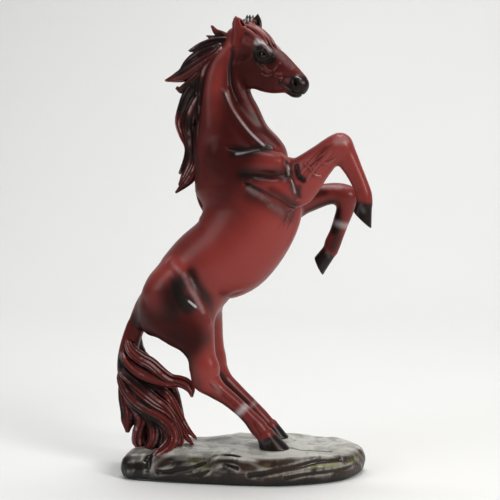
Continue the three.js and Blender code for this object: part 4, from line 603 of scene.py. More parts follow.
TAIL_LOCKS = [
    [[-90.5, -4, 104, 1.4], [-89, -6, 99, 3.4], [-84.5, -9, 93, 4.4, 4.2], [-76.7, -11, 88.4, 4.6, 4.4],
     [-69.6, -12.5, 85.4, 4.5, 4.3], [-64, -13.5, 81.2, 4.4, 4.2], [-58.5, -14, 76.8, 4.4, 4.2],
     [-52.5, -15, 73.8, 4.4, 4.2], [-46, -15.5, 73, 4.5, 4.2], [-40.5, -17, 71.2, 4.4, 4],
     [-37.2, -17.5, 67, 3], [-36.8, -17.5, 62.8, 0.8]],
    [[-94, -4, 95, 1.6], [-93, -6, 90, 3.4], [-88.5, -9, 83.5, 4.2, 4], [-81, -12, 78, 4.6, 4.2],
     [-71, -14, 74, 4.6, 4.2], [-61, -15, 71.8, 4, 3.8], [-53, -16, 71, 3, 2.8], [-47, -16.5, 70, 1.2]],
    [[-95.5, -4, 87, 1.6], [-94.5, -7, 81, 3.2], [-91, -10.5, 75.5, 4, 3.8], [-82.5, -13, 70, 4.3, 4],
     [-73.5, -15, 63.5, 4.3, 4], [-65, -16, 57.5, 4.2, 4], [-57.5, -16, 52.5, 4, 3.8],
     [-52, -16, 45.5, 3.6, 3.4], [-46.5, -15, 36.5, 3, 2.8], [-41.5, -14, 29, 2.2],
     [-37.5, -13, 23.5, 0.8]],
    [[-68, -10, 66, 2], [-62, -11.5, 64, 3.6, 3.8], [-57, -12, 60.5, 3.8], [-52, -12, 53, 3.6, 3.4],
     [-47, -11, 43, 3.2, 3], [-41.5, -10, 34, 2.2], [-36, -9, 28, 0.8]],
    [[-95, -5, 79, 1.6], [-94.5, -8, 73, 3.6], [-90.5, -11, 65, 4.4, 4.2], [-82, -15, 56.5, 4.8, 4.4],
     [-71, -17, 49.5, 4.8, 4.4], [-60.5, -19, 45, 4.8, 4.4], [-52.5, -21, 39, 4.8, 4.6],
     [-49.5, -24, 31, 4.9, 4.6], [-52, -28, 25.5, 4.4, 4.2], [-57, -32, 22, 3.4, 3.2],
     [-61.5, -35, 20, 1.2]],
    [[-95, -5, 84, 1.6], [-93.5, -8, 77, 3.2], [-88.5, -10, 69.5, 3.9, 3.8], [-78.5, -14, 61.5, 4.1, 4],
     [-67.5, -16, 54, 4.1, 4], [-57.5, -17, 48.5, 3.9, 3.8], [-52, -18, 42, 3.5, 3.4],
     [-47.8, -18, 34, 3.2], [-46, -18, 26, 2.4], [-48.5, -19, 21, 1]],
    [[-95, -2, 74, 1.6], [-94.2, -4, 66, 3.8], [-92.6, -6, 56, 4.8, 4.6], [-90.2, -8, 46.5, 5.2, 4.6],
     [-89.8, -8, 38.5, 5, 4.4], [-90, -8, 31, 2.2]],
    [[-92, -6, 66, 1.6], [-88.5, -9, 57.5, 4.2], [-81, -12, 49.5, 4.8, 4.4], [-76.5, -14, 41.5, 4.8, 4.6],
     [-79, -15, 32.5, 4.8, 4.6], [-80, -15, 24, 4.4, 4.2], [-77, -15, 18, 2]],
    [[-87, -8, 58, 1.6], [-81, -11, 51.5, 4.2], [-72, -14, 45, 4.6, 4.4], [-67, -16, 37, 5, 4.6],
     [-66.5, -17, 29, 4.9, 4.6], [-69.5, -17, 21.5, 4.4, 4.2], [-72, -17, 17, 2]],
    [[-77, -10, 54, 1.6], [-71, -12.5, 48.5, 4.2], [-62.5, -15, 40.5, 4.4, 4.2],
     [-58.5, -16, 32.5, 4.4, 4.2], [-59.5, -17, 25, 4], [-63.5, -17, 19, 2]],
    [[-80, 5, 120, 6], [-88, 10, 105, 5], [-85, 14, 86, 5], [-71, 15, 74, 5], [-60, 13, 60, 4.6],
     [-54, 9, 45, 3.8], [-47, 5, 28, 1.4]],
    [[-87, 6, 108, 5], [-93.9, 11, 92, 5], [-89, 15, 72, 5.5], [-77, 17, 56, 5.5], [-65, 16, 42, 5],
     [-58, 14, 30, 3.4], [-54, 13, 22, 1.2]],
    [[-90, 6, 100, 5], [-94, 9, 80, 5], [-92, 12, 60, 6], [-85, 14, 42, 6], [-80, 14, 28, 5],
     [-80, 14, 18, 2]],
]


# Strands: their half size and their place in shares of the lock's half sizes, each with its own play
STRAND_GIRTH = 0.34
GIRTH_PLAY = (0.8, 1.15)
STRAND_SPREAD = 0.74
SPREAD_PLAY = (0.85, 1.1)
# The play in a strand's start in shares of the gap, in how far it winds in radians, and in its length in
# millimetres, and the thickness of its tip
START_PLAY = (-0.25, 0.25)
WINDING_PLAY = (-0.7, 0.7)
LENGTH_PLAY = (-1.5, 1.5)
TIP_RADIUS = 0.4
# The plain core in a lock, and how softly strands and cores run into each other
CORE_GIRTH = 0.86
STRAND_BLEND = 0.7
# How many strands each lock has
MANE_STRANDS = 9
TAIL_STRANDS = 10


def strands(lock, count):
    """Thin strands laid round a lock's middle line, each with its own thickness and tip."""
    lock = filled(lock)
    heading = unit(np.gradient(lock[:, :3], axis=0))
    side = unit(np.array([0.0, 1.0, 0.0]) - heading[:, 1:2] * heading)
    normal = np.cross(heading, side)
    share = np.linspace(0, 1, len(lock))
    out = []
    for k in range(count):
        angle = 2 * math.pi * (k + DRAW.uniform(*START_PLAY)) / count + share * DRAW.uniform(*WINDING_PLAY)
        away = STRAND_SPREAD * DRAW.uniform(*SPREAD_PLAY)
        middle = lock[:, :3] + away * (lock[:, 3:4] * np.cos(angle)[:, None] * normal
                                       + lock[:, 4:5] * np.sin(angle)[:, None] * side)
        middle[-1] += heading[-1] * DRAW.uniform(*LENGTH_PLAY)
        radius = STRAND_GIRTH * DRAW.uniform(*GIRTH_PLAY) * lock[:, 3:5]
        radius[-1] = TIP_RADIUS
        out.append(Sweep(np.hstack([middle, radius]), steps=3, reach=5.5))
    return out


def hair(locks, count, *more):
    """Locks of strands, each round a plain core."""
    thinner = [1, 1, 1, CORE_GIRTH, CORE_GIRTH]
    cores = [Sweep(filled(lock) * thinner, steps=3, reach=6) for lock in locks]
    fine = [strand for lock in locks for strand in strands(lock, count)]
    return joined(fine + cores + list(more), STRAND_BLEND)


mane = hair(MANE_LOCKS, MANE_STRANDS)
tail = hair(TAIL_LOCKS, TAIL_STRANDS, Sweep(TAIL_HEART, steps=4, reach=9),
            *(Sweep(web, steps=3, reach=7) for web in TAIL_WEBS))


# The rock base
BASE_OUTLINE = [[-90, -20], [-88, -35], [-65, -39.5], [-26, -40.9], [21, -39], [50, -31], [78, -14],
                [90, 6], [92, 24], [80, 36], [57, 43], [30, 42], [0, 34], [-30, 29], [-60, 20], [-82, 4]]
ROCK_STEPS = 6
ROCK_OUTLINE = smooth_run(BASE_OUTLINE + BASE_OUTLINE[:1], ROCK_STEPS)
ROCK_ROUNDING = 13
PAD_THICKNESS = 1.2
# Flat seats for the hooves: their places, their height, and where they end and over how far they fade
HOOF_SEATS = [[25.5, -17], [22.5, 17]]
SEAT_HEIGHT = 24.3
SEAT_END = 16
SEAT_FADE = 10
# The top's middle stands this far above the seats, and it falls away from there along x with the square of
# the distance
CROWN_RISE = 0.6
CROWN_MIDDLE = 10
CROWN_FALL = 0.0006
# Below this level the rim draws in with the square of the depth
RIM_LEVEL = 9
RIM_TUCK = 0.03
# Waves: height, radians for each millimetre along the first and the second direction, and phase
CROWN_WAVES = [(0.9, 0.07, 0.05, 0), (0.4, 0.17, -0.13, 0)]
FOLD_BENDS = [(9, 0.02, 0.05, 0.6), (4, 0.06, 0.12, 0)]
FOLD_DRIFTS = [(8, 0.045, 0, 0.3), (3, 0.13, 0.06, 0)]
FOLD_LEAN = 0.9
FOLD_WINDING = 0.07
WIDE_FOLD = (0.6, 0.3, 0.8, 0)
NARROW_FOLD = (0.3, 0.66, -0.1, 1.3)
# How far the rock is cut back all over, and how much of the folds' height stays
CARVING_DEPTH = 0.5
FOLD_DEPTH = 0.35
BOULDER_BLEND = 3
BASE_ABOVE_PAD = 0.3
BASE_EDGE = 0.8
ROCK_CARVING = [
    Line(2.8, 3.6, [-68, -20, 24], [-67.5, -30, 20], [-67, -38, 12], [-68, -41, 1]),
    Line(2.0, 1.6, [-58, -38, 8], [-44, -39, 10], [-31, -39, 13], [-22, -37, 16], [-14, -34, 19.5],
         [-4, -32, 20.5], [6, -33, 19]),
    Line(2.4, -1.0, [-54, -34, 15], [-38, -36, 16], [-28, -34, 19], [-18, -30, 22]),
    Line(1.5, 1.3, [-34, -41, 6], [-24, -40, 9], [-16, -38, 13], [-8, -37, 15.5], [2, -38, 13.5]),
    Line(2.0, -0.9, [-30, -39, 11], [-20, -38, 13], [-12, -35, 17.5], [-2, -34, 18]),
    Line(2.0, 1.4, [12, -39, 9], [28, -37, 12], [42, -33, 14.5], [54, -27, 16.5], [66, -20, 17],
         [76, -12, 17]),
    Line(2.6, -0.9, [12, -35, 16], [28, -33, 18], [44, -28, 19.5], [58, -20, 20]),
    Line(1.5, 1.1, [38, -35, 7], [52, -30, 9], [66, -23, 9.5], [78, -14, 10], [86, -4, 11]),
    Line(5.0, 1.0, [-28, 2, 25], [-14, -4, 25], [-4, -2, 25]),
    Line(6.0, 0.9, [46, 6, 25], [60, 12, 24]),
    Line(4.0, 0.9, [-52, -12, 23], [-40, -18, 22.5]),
    Line(2.6, 1.0, [36, -12, 25], [46, -15, 24], [56, -10, 23], [68, -6, 21]),
    Line(3.0, -0.8, [40, -4, 25], [54, -2, 24], [68, 4, 22]),
    Line(1.6, 1.2, [-58, 6, 22], [-40, 14, 23], [-18, 20, 23], [2, 27, 20]),
    Line(2.4, -1.2, [-52, 12, 18], [-34, 20, 17], [-14, 26, 16]),
    Line(1.8, 1.3, [16, 38, 12], [34, 39, 15], [52, 38, 15], [68, 34, 12]),
    Line(2.4, -1.0, [20, 34, 20], [38, 34, 21], [56, 32, 20]),
]
BOULDER = Lump([-78.5, -21, 8.5], [11.8, 17, 12.2])


def outline_distance(points):
    best, inside = np.full(len(points), FAR ** 2), np.zeros(len(points), bool)
    x, y = points[:, 0], points[:, 1]
    for (ax, ay), (bx, by) in zip(ROCK_OUTLINE[:-1], ROCK_OUTLINE[1:]):
        dx, dy = bx - ax, by - ay
        share = np.clip(((x - ax) * dx + (y - ay) * dy) / (dx * dx + dy * dy), 0, 1)
        best = np.minimum(best, (x - ax - share * dx) ** 2 + (y - ay - share * dy) ** 2)
        if abs(dy) > TINY:
            inside ^= ((ay > y) != (by > y)) & (x < ax + (y - ay) * dx / dy)
    return np.where(inside, -np.sqrt(best), np.sqrt(best))


def waved(value, first, second, waves):
    """A value with waves added to it."""
    for height, along, across, phase in waves:
        value = value + height * np.sin(along * first + across * second + phase)
    return value


def ripples(points):
    """Long soft folds, like those of flowing mud."""
    x, y, z = points.T
    along = waved(x, x, y, FOLD_BENDS)
    across = waved(y + FOLD_LEAN * z, x, y, FOLD_DRIFTS)
    wide = waved(0, across, np.sin(FOLD_WINDING * along), [WIDE_FOLD])
    return waved(wide, across, along, [NARROW_FOLD])


def rock(points):
    x, y, z = points.T
    crown = SEAT_HEIGHT + CROWN_RISE - CROWN_FALL * (x - CROWN_MIDDLE) ** 2 + waved(0, x, y, CROWN_WAVES)
    seat = np.zeros(len(points))
    for seat_x, seat_y in HOOF_SEATS:
        away = np.hypot(x - seat_x, y - seat_y)
        seat = np.maximum(seat, np.clip(SEAT_END / SEAT_FADE - away / SEAT_FADE, 0, 1))
    crown = crown * (1 - seat) + SEAT_HEIGHT * seat
    tuck = RIM_TUCK * np.maximum(RIM_LEVEL - z, 0) ** 2
    form = smooth_max(outline_distance(points) + tuck, z - crown, ROCK_ROUNDING)
    form = smooth_min(form, BOULDER(points), BOULDER_BLEND)
    carving = total(ROCK_CARVING, points) + CARVING_DEPTH - FOLD_DEPTH * ripples(points)
    form = form + np.maximum(carving, 0) * (1 - seat)
    return smooth_max(form, PAD_THICKNESS + BASE_ABOVE_PAD - z, BASE_EDGE)


# Paint: how black, how silvery, how hollow, how ridged and how bright each point is; the black is partly
# painted shade, the silver partly painted highlights, hollows get painted shade, ridges a painted
# highlight, and the brightness is painted light and shade

# A painted ring is full this far from its place and fades out beyond, and horn fades out within its reach
BAND_REACH = 12
BAND_FADE = 3
HORN_REACH = 15
HORN_FADE = 2
# Where horn comes in about the crown and goes out past the sole, in shares of the way between them
HORN_START = (-0.22, 0.26)
HORN_END = (1.9, 1.5)
# The bends between which the painted shade in hollows and the painted highlight on ridges come in, for each
# kind of casting
HORSE_HOLLOW = (0.1, 0.8)
HORSE_RIDGE = (0.35, 0.9)
HAIR_HOLLOW = (0, 0.7)
HAIR_RIDGE = (0.3, 0.8)
ROCK_HOLLOW = (0.03, 0.4)
ROCK_RIDGE = (0.04, 0.35)
# The horse's brightness before the painted light and shade, and that of the mane and the tail
PLAIN_GLOW = 0.5
MANE_GLOW = 0.22
TAIL_GLOW = 0.42
# The pale wash, partly painted light, lies on what faces up and is high enough, and a smaller share of it
# at the rear, under the tail
WASH_FACING = (0.5, 0.97)
WASH_LEVEL = (12, 21)
REAR_SHARE = 0.45
REAR_END = (-66, -44)
ROCK_FOOT = (1, 9)


def fade(values, start, end):
    share = np.clip((values - start) / (end - start), 0, 1)
    return share * share * (3 - 2 * share)


class Band:
    """A painted ring round a limb."""

    def __init__(self, width, height, place, axis):
        self.width, self.height = width, height
        self.place, self.axis = np.asarray(place, float), unit(np.asarray(axis, float))

    def __call__(self, points):
        away = points - self.place
        along = away @ self.axis
        near = fade(np.linalg.norm(away, axis=1), BAND_REACH + BAND_FADE, BAND_REACH)
        return self.height * np.exp(-(along / self.width) ** 2) * near


class Horn:
    """The painted horn of a hoof, from the crown down."""

    def __init__(self, crown, sole):
        self.crown, self.down = np.asarray(crown, float), np.subtract(sole, crown)

    def __call__(self, points):
        away = points - self.crown
        share = away @ self.down / (self.down @ self.down)
        across = np.linalg.norm(away - share[:, None] * self.down, axis=1)
        near = fade(across, HORN_REACH, HORN_REACH - HORN_FADE)
        return fade(share, *HORN_START) * fade(share, *HORN_END) * near


# Airbrushed black smudges on the flank, and painted shade under the buttock and the thigh, at the tail root
# and in the flank's fold
BLACK_AND_SHADE = [
    Line(9.5, 1.0, [-45, 31, 150], [-44, 32, 142], [-38, 31, 134]),
    Line(13, 0.8, [-50, 30, 143], [-48, 30, 131]),
    Line(5.8, 0.85, [-34.5, 29, 159], [-29, 29, 148], [-21.5, 25, 137], [-16.5, 22, 128]),
    Line(11, 0.6, [-46, 24, 112], [-34, 24, 107], [-26, 24, 108]),
    Line(6, 0.9, [-82, 6, 118], [-75, 9, 110], [-64, 14, 104.5], [-52, 18, 99]),
    Line(4, 0.5, [-69, 14, 126], [-71, 13, 118], [-66, 15, 112]),
    Line(7, 0.45, [-14, 20, 128], [-10, 18, 140]),
    Line(7, 0.55, [-39, 24, 99], [-37, 24, 84], [-31, 24, 74]),
    Line(3.6, 0.75, [-26, 20, 69], [-18, 20, 61], [-8, 20, 54], [1, 20, 47], [7, 20, 41]),
    Line(3.2, 0.6, [-16, 17, 120], [-11, 18, 130], [-4, 15, 141]),
]
ARM_SOOT = [
    Line(6.5, 0.9, [-2, 22, 247.5], [7, 22, 248.5], [15, 20, 250.4], [22, 17, 251.5]),
    Line(6.5, 0.85, [4, 25, 231.8], [14, 25, 231.2], [26, 24.5, 231.2], [36, 26, 232]),
    Line(3.0, 1.1, [43.4, 27.5, 239], [45, 28.3, 232], [49, 28.6, 228.5]),
    Line(5.5, 0.75, [26, 25, 220], [35, 24, 214], [42, 22, 209]),
    Line(3.4, 0.7, [46, 27, 223], [45, 26, 216]),
    Line(1.5, 1.0, [8, 24, 224], [14, 25.4, 221], [20, 26, 218], [28, 25, 213], [36, 22, 208],
         [42, 15, 206]),
    Line(8.0, 0.6, [10, 25.6, 216.5], [22, 25, 211], [32, 22, 205], [39, 15, 200]),
    Line(2.2, 0.8, [36.6, 24, 241], [38.8, 26, 232], [41, 27, 223], [44, 25, 215]),
    Line(3, 0.6, [35, 19, 248], [38, 16, 249]),
]
# Painted shade in the furrows behind the jaw and down the neck, and airbrushed black along the root of the
# mane
NECK_BLACK_AND_SHADE = [
    Line(2.6, 0.75, [-6, 11, 324], [-8, 10, 308], [-6.5, 11, 294.8]),
    Line(2.0, 0.5, [-6.5, 11, 294.8], [-2, 11.6, 285.3], [4, 12.4, 277.2]),
    Line(3.4, 0.7, [9, 9, 275], [17, 9, 264], [27, 7, 253]),
    Line(5.0, 0.7, [-15, 6, 327], [-23, 7, 319], [-30, 8, 304], [-34, 8, 286], [-35, 9, 264],
         [-33, 10, 240], [-30, 10, 220]),
]
HEAD_SOOT = [
    Line(5.4, 1.5, [20.6, 11.4, 7.6], [25, 11, 8.2], [29.6, 10, 9]),
    Line(4.4, 0.8, [21, 11, 3], [27, 11, 2.2]),
    Line(6.6, 1.6, [59, 4, 9], [61, 4.4, 6], [60, 4, 2]),
    Line(5.0, 1.4, [55.4, 7, 8], [58.4, 6, 11]),
    Line(3.6, 0.9, [54, 6, 2.5], [60, 5, 0]),
    Line(2.0, 0.9, [46.6, 5.4, -0.3], [52, 5.5, 1], [58, 5.5, 1.4]),
    Line(2.4, 0.45, [1, 8.5, 9], [4, 10.6, 4]),
]
# Black horn on the hooves and black on the ears, and painted shade on the far legs where they face the near
# legs
SPOT_BLACK_AND_SHADE = [
    Horn([93.4, -20, 212.5], [91.3, -20, 199.4]),
    Horn([63.4, 18, 171.4], [55, 18, 159.6]),
    Horn([21.6, -17, 34], [25.2, -17, 26]),
    Horn([19.4, 17, 33], [22.5, 17, 26]),
    Line(5.0, 1.1, [9.2, 7, 348], [9, 6.5, 343], [8.6, 5, 337]),
    Line(2.6, 0.9, [6, 4, 347], [6.6, 3, 341]),
    Line(4.0, 1.2, [3, 1.4, 348], [4, 1, 342]),
    Line(1.4, 0.35, [2.6, -9.8, 334], [2.6, -10, 339], [0, -9.6, 343.5]),
    Line(5.5, 0.95, [46, 12, 198], [57, 11, 204], [66, 11, 207], [69, 12, 199], [68.5, 12, 187]),
    Line(4.5, 0.7, [52, 9, 216], [60, 9, 217]),
    Line(7, 0.7, [70, 12, 182], [67, 12, 175]),
    Line(3.8, 0.8, [-20, 10, 74], [-10, 10, 62], [0, 10, 53]),
]
# Silver grey rings on the cannons and lines on the tuft, and painted highlights on the limbs, the hooves,
# the shoulder, the triceps, the neck's crest, the croup and the flank's ridge and dash
GREY_PAINT_AND_HIGHLIGHTS = [
    Band(3.8, 0.66, [2.5, -17, 54], [0.72, 0, -0.69]),
    Band(3.8, 0.56, [73.5, 18, 192], [0.3, 0, 1]),
    Band(3.0, 0.4, [3, 17, 48.5], [0.72, 0, -0.69]),
    Line(5.0, 0.4, [74, -28, 256], [80, -27, 257]),
    Line(3.2, 0.45, [58, 12, 221], [72, 11, 221]),
    Line(3.2, 0.3, [91, -26, 210], [93, -26, 206]),
    Line(3.2, 0.3, [62, 12, 171], [64, 12, 168]),
    Line(3.6, 0.26, [17, -23.6, 31], [24, -25.4, 31]),
    Line(3.0, 0.34, [-21, -23, 76], [-14, -23, 67]),
    Line(3.8, 0.36, [9, -25, 221], [16, -25.6, 216.6], [24, -25.8, 211.4]),
    Line(4.4, 0.34, [25, -25, 209], [34, -21, 203]),
    Line(1.5, 0.6, [-1, -23, 246.5], [7, -22, 247.4], [15, -20, 249]),
    Line(1.5, 0.55, [37.6, -25.6, 238.8], [38.4, -26.6, 232]),
    Line(1.2, 0.6, [41, -26.8, 226], [43, -26.6, 219]),
    Line(1.3, 0.75, [-10.5, -15, 291], [-7.4, -16.4, 284], [-3.4, -17.2, 277.2], [4.8, -17.2, 266.2],
         [12.8, -17.2, 257.8], [19, -18, 252.6]),
    Line(1.15, 1.25, [-35.6, -31.5, 137], [-33.2, -31, 135], [-31, -30, 133.2]),
    Line(3.0, 0.42, [-40, -29, 157], [-36, -30, 149], [-30.6, -30.6, 140], [-25, -28, 129]),
    Line(0.9, 0.9, [1, 0, 340], [1.6, 0.8, 347]),
    Line(0.9, 0.9, [3.5, -2, 339], [3.9, -0.6, 347]),
    Line(0.8, 0.8, [5.6, 0, 341], [6.2, 1.6, 347]),
    Line(3.2, 0.36, [-49, -23, 164], [-43, -28, 159]),
]
# A pale silver patch over the eye, and painted highlights along the face, the forelock, above the nostril
# and at the mouth's corner
HEAD_GREY_PAINT_AND_HIGHLIGHTS = [
    Line(3.4, 0.75, [14.5, 10, 12.4], [17.6, 10, 15], [22, 9.2, 16], [25.4, 8.6, 14.6]),
    Line(4.0, 0.32, [30, 5, 14.5], [38, 4, 13.5], [46, 3, 13]),
    Line(2.6, 0.42, [4, 3, 18.6], [14, 3, 19], [22, 2, 18]),
    Line(0.8, 0.7, [54.6, 6, 11.6], [57.4, 5, 11.8]),
    Line(0.7, 0.9, [46, 5.6, 0.8], [48, 5.8, 0.6]),
]
# Painted shade on the jaw and, faintly, along the face
HEAD_PAINTED_SHADE = [Line(18, -0.4, [18, 8, -8], [34, 6, -4]), Line(9, -0.1, [30, 4, 14], [48, 3, 13])]
# Painted light and shade: lighter on the belly, the gaskin, the croup, the shoulder and a band down the
# neck, darker along the neck and under the buttock
PAINTED_LIGHT_AND_SHADE = [
    Line(26, 0.45, [38, 20, 196], [22, 26, 176], [-2, 26, 158]),
    Line(13, 0.5, [-18, 22, 106], [-22, 22, 80]),
    Line(20, -0.42, [-8, 14, 300], [-2, 18, 272], [2, 22, 250]),
    Line(20, -0.36, [-18, 18, 262], [-14, 22, 250], [-8, 24, 222]),
    Line(16, -1.0, [-68, 14, 116], [-52, 26, 111], [-40, 27, 108]),
    Line(12, 0.28, [-62, 18, 140], [-60, 20, 150]),
    Line(7, 0.36, [-9, 11, 325], [-14.4, 12, 309], [-17.5, 13.5, 296]),
    Line(9, 0.26, [-17, 13, 305], [-18, 15, 284], [-17, 17, 262]),
    Line(9, 0.45, [-53, 22, 163], [-45, 27, 163]),
    Line(13, 0.5, [22, 16, 238], [32, 16, 228]),
]
# Painted light on the near forearm and cannon
LIMB_PAINTED_LIGHT = [
    Line(14, 0.4, [46, -24, 216], [62, -24, 238], [76, -20, 252]),
    Line(9, 0.2, [86, -20, 236], [92, -20, 218]),
]


def horse_paint(points, bend, normals):
    half, arm, head = one_side(points), arm_side(points), one_side(in_head(points))
    # The black is airbrush and painted shade, the grey is silver paint and painted highlights, and the
    # brightness is painted light and shade
    black_and_shade = np.maximum.reduce([strongest(BLACK_AND_SHADE, half), strongest(ARM_SOOT, arm), strongest(NECK_BLACK_AND_SHADE, half),
                              strongest(HEAD_SOOT, head), strongest(SPOT_BLACK_AND_SHADE, points)])
    grey_and_highlight = np.maximum(strongest(GREY_PAINT_AND_HIGHLIGHTS, points), strongest(HEAD_GREY_PAINT_AND_HIGHLIGHTS, head))
    glow = PLAIN_GLOW + total(PAINTED_LIGHT_AND_SHADE, half) + total(HEAD_PAINTED_SHADE, head) + total(LIMB_PAINTED_LIGHT, points)
    return black_and_shade, grey_and_highlight, fade(-bend, *HORSE_HOLLOW), fade(bend, *HORSE_RIDGE), glow


MANE_SOOT = [
    Line(5.5, 1.2, [-18, -4, 330], [-28, -5, 326], [-38, -5, 319], [-48, -4, 310]),
    Line(4, 1.0, [-34, -5, 320], [-40, -4, 323]),
    Line(7, 1.0, [-34, -6, 297], [-42, -5, 290], [-46, -4, 280]),
    Line(6, 0.9, [-40, -6, 270], [-36, -7, 258], [-38, -6, 246]),
    Line(4, 1.0, [-45, -3, 246], [-47, -3, 236]),
    Line(5, 0.9, [-30, -6, 300], [-31, -7, 280], [-30, -7, 262], [-30, -6, 244]),
    Line(3, 0.8, [-38, -6, 222], [-48, -4, 217]),
    Line(4, 0.8, [-32, -5, 226], [-33, -5, 212]),
    Line(8, 0.9, [-30, 8, 316], [-40, 8, 290], [-40, 8, 262]),
]
# Painted shade in the deep grooves between the locks, and airbrushed black
TAIL_BLACK_AND_SHADE = [
    Line(4.6, 1.1, [-99, -2, 92], [-94, -9, 82], [-84, -14, 73], [-72, -17, 68], [-60, -18, 64]),
    Line(3.6, 1.0, [-99, -4, 78], [-90, -13, 66], [-80, -17, 58], [-70, -19, 52]),
    Line(5, 1.0, [-98, -3, 68], [-97, -6, 54], [-95, -10, 44]),
    Line(6, 1.1, [-82, -14, 52], [-72, -17, 46], [-64, -19, 40]),
    Line(4.6, 0.9, [-84, -14, 40], [-84, -15, 30], [-86, -14, 24]),
    Line(4, 0.9, [-73, -18, 36], [-74, -19, 26]),
    Line(4, 0.9, [-62, -19, 36], [-60, -21, 28], [-64, -22, 22]),
    Line(3, 0.6, [-56, -17, 66], [-48, -17, 66]),
    Line(6, 0.8, [-95, 8, 100], [-98, 10, 76], [-95, 12, 50]),
]


def hair_paint(black_and_shade_lines, tone):
    """The paint of a lock casting: its black and painted shade, no silver or highlights, and one brightness
    all over.
    """
    def paint(points, bend, normals):
        plain = np.full(len(points), tone)
        # Painted shade in the grooves and a painted highlight on the ridges
        hollow, ridge = fade(-bend, *HAIR_HOLLOW), fade(bend, *HAIR_RIDGE)
        return strongest(black_and_shade_lines, points), 0 * plain, hollow, ridge, plain
    return paint


MOSS = [
    Line(3.8, 1.2, [-36, -37, 15], [-24, -35, 18.5], [-12, -31, 21]),
    Line(3.0, 1.1, [-24, -39, 12], [-16, -37, 16], [-8, -35, 18]),
    Line(3.0, 0.8, [20, -36, 14], [30, -33, 17]),
    Line(3.6, 0.9, [34, -22, 21], [46, -22, 20], [54, -18, 20]),
    Line(2.6, 0.9, [56, -27, 14], [66, -21, 14], [74, -15, 14]),
    Line(3.4, 0.6, [82, -8, 15], [88, 6, 14]),
    Line(8, 0.6, [-40, 20, 19], [-20, 26, 17]),
    Line(7, 0.7, [50, 38, 16], [66, 36, 15]),
]


def rock_paint(points, bend, normals):
    """The rock's masks: moss, the silvery wash that is partly painted light on what faces up, the hollows
    for painted shade, ridge and the height above the floor.
    """
    x, _, z = points.T
    pale_wash_and_light = fade(normals[:, 2], *WASH_FACING) * (REAR_SHARE + (1 - REAR_SHARE) * fade(x, *REAR_END))
    return (strongest(MOSS, points), pale_wash_and_light * fade(z, *WASH_LEVEL), fade(-bend, *ROCK_HOLLOW),
            fade(bend, *ROCK_RIDGE), fade(z, *ROCK_FOOT))


# Where the castings part: a place on each plane and the way it faces; each parts the body on its own level
NECK_CUT = (Vector((-4, 0, 311)), Vector((0.85, 0, 0.53)).normalized())
FORELEG_CUT = (Vector((45.5, 0, 224)), Vector((0.98, 0, 0.19)).normalized())
HIND_CUT = (Vector((0, 0, 86)), Vector((0, 0, -1)))
CHIN_LEVEL = 284
STIFLE_LEVEL = 110
CUT_TOLERANCE = 1e-8


def everywhere(place):
    return True


def above_chin(place):
    return place.z > CHIN_LEVEL


def below_chin(place):
    return STIFLE_LEVEL < place.z <= CHIN_LEVEL


def below_stifle(place):
    return place.z < STIFLE_LEVEL


# Each casting: its node, its field, its paint, the box it is sculpted in, its cell and its cuts
CASTINGS = {
    "horse_body": ("body_casting", skin, horse_paint, [-96, -42, 78], [62, 42, 334], 0.85,
                   [(NECK_CUT, "outer", above_chin), (FORELEG_CUT, "outer", below_chin),
                    (HIND_CUT, "outer", below_stifle)]),
    "horse_head": ("head_casting", skin, horse_paint, [-26, -24, 276], [62, 26, 357], 0.48,
                   [(NECK_CUT, "inner", everywhere)]),
    "right_foreleg": ("right_foreleg_casting", skin, horse_paint, [36, -36, 182], [108, -3, 268], 0.6,
                      [(FORELEG_CUT, "inner", everywhere)]),
    "left_foreleg": ("left_foreleg_casting", skin, horse_paint, [36, 3, 142], [96, 36, 240], 0.65,
                     [(FORELEG_CUT, "inner", everywhere)]),
    "right_hind_leg": ("right_hind_leg_casting", skin, horse_paint, [-50, -34, 18], [48, -1, 96], 0.65,
                       [(HIND_CUT, "inner", everywhere)]),
    "left_hind_leg": ("left_hind_leg_casting", skin, horse_paint, [-50, 1, 18], [44, 34, 96], 0.7,
                      [(HIND_CUT, "inner", everywhere)]),
    "mane": ("mane_casting", mane, hair_paint(MANE_SOOT, MANE_GLOW), [-70, -16, 198], [6, 14, 348], 0.55,
             []),
    "tail": ("tail_casting", tail, hair_paint(TAIL_BLACK_AND_SHADE, TAIL_GLOW), [-112, -36, 8], [-26, 30, 140], 0.6,
             []),
    "rock_base": ("base_casting", rock, rock_paint, [-98, -50, -2], [100, 52, 34], 0.95, []),
}


def sculpt(casting):
    node, field, paint, low, high, cell, cuts = casting
    vertices, faces, normals, bend = surface(field, low, high, cell * COARSENING)
    return vertices, faces, normals, np.stack(paint(vertices, bend, normals), 1)


def mesh_from(name, vertices, faces, normals, masks):
    """A mesh in metres that carries its normals and paint as point attributes."""
    mesh = bpy.data.meshes.new(name)
    mesh.vertices.add(len(vertices))
    mesh.vertices.foreach_set("co", (vertices * MM).ravel())
    mesh.loops.add(4 * len(faces))
    mesh.loops.foreach_set("vertex_index", faces.ravel().astype(np.int32))
    mesh.polygons.add(len(faces))
    mesh.polygons.foreach_set("loop_start", np.arange(len(faces), dtype=np.int32) * 4)
    mesh.update(calc_edges=True)
    mesh.attributes.new("outward", "FLOAT_VECTOR", "POINT").data.foreach_set("vector", normals.ravel())
    mesh.attributes.new("paint", "FLOAT_COLOR", "POINT").data.foreach_set("color", masks[:, :4].ravel())
    mesh.attributes.new("glow", "FLOAT", "POINT").data.foreach_set("value", masks[:, 4].copy())
    return mesh


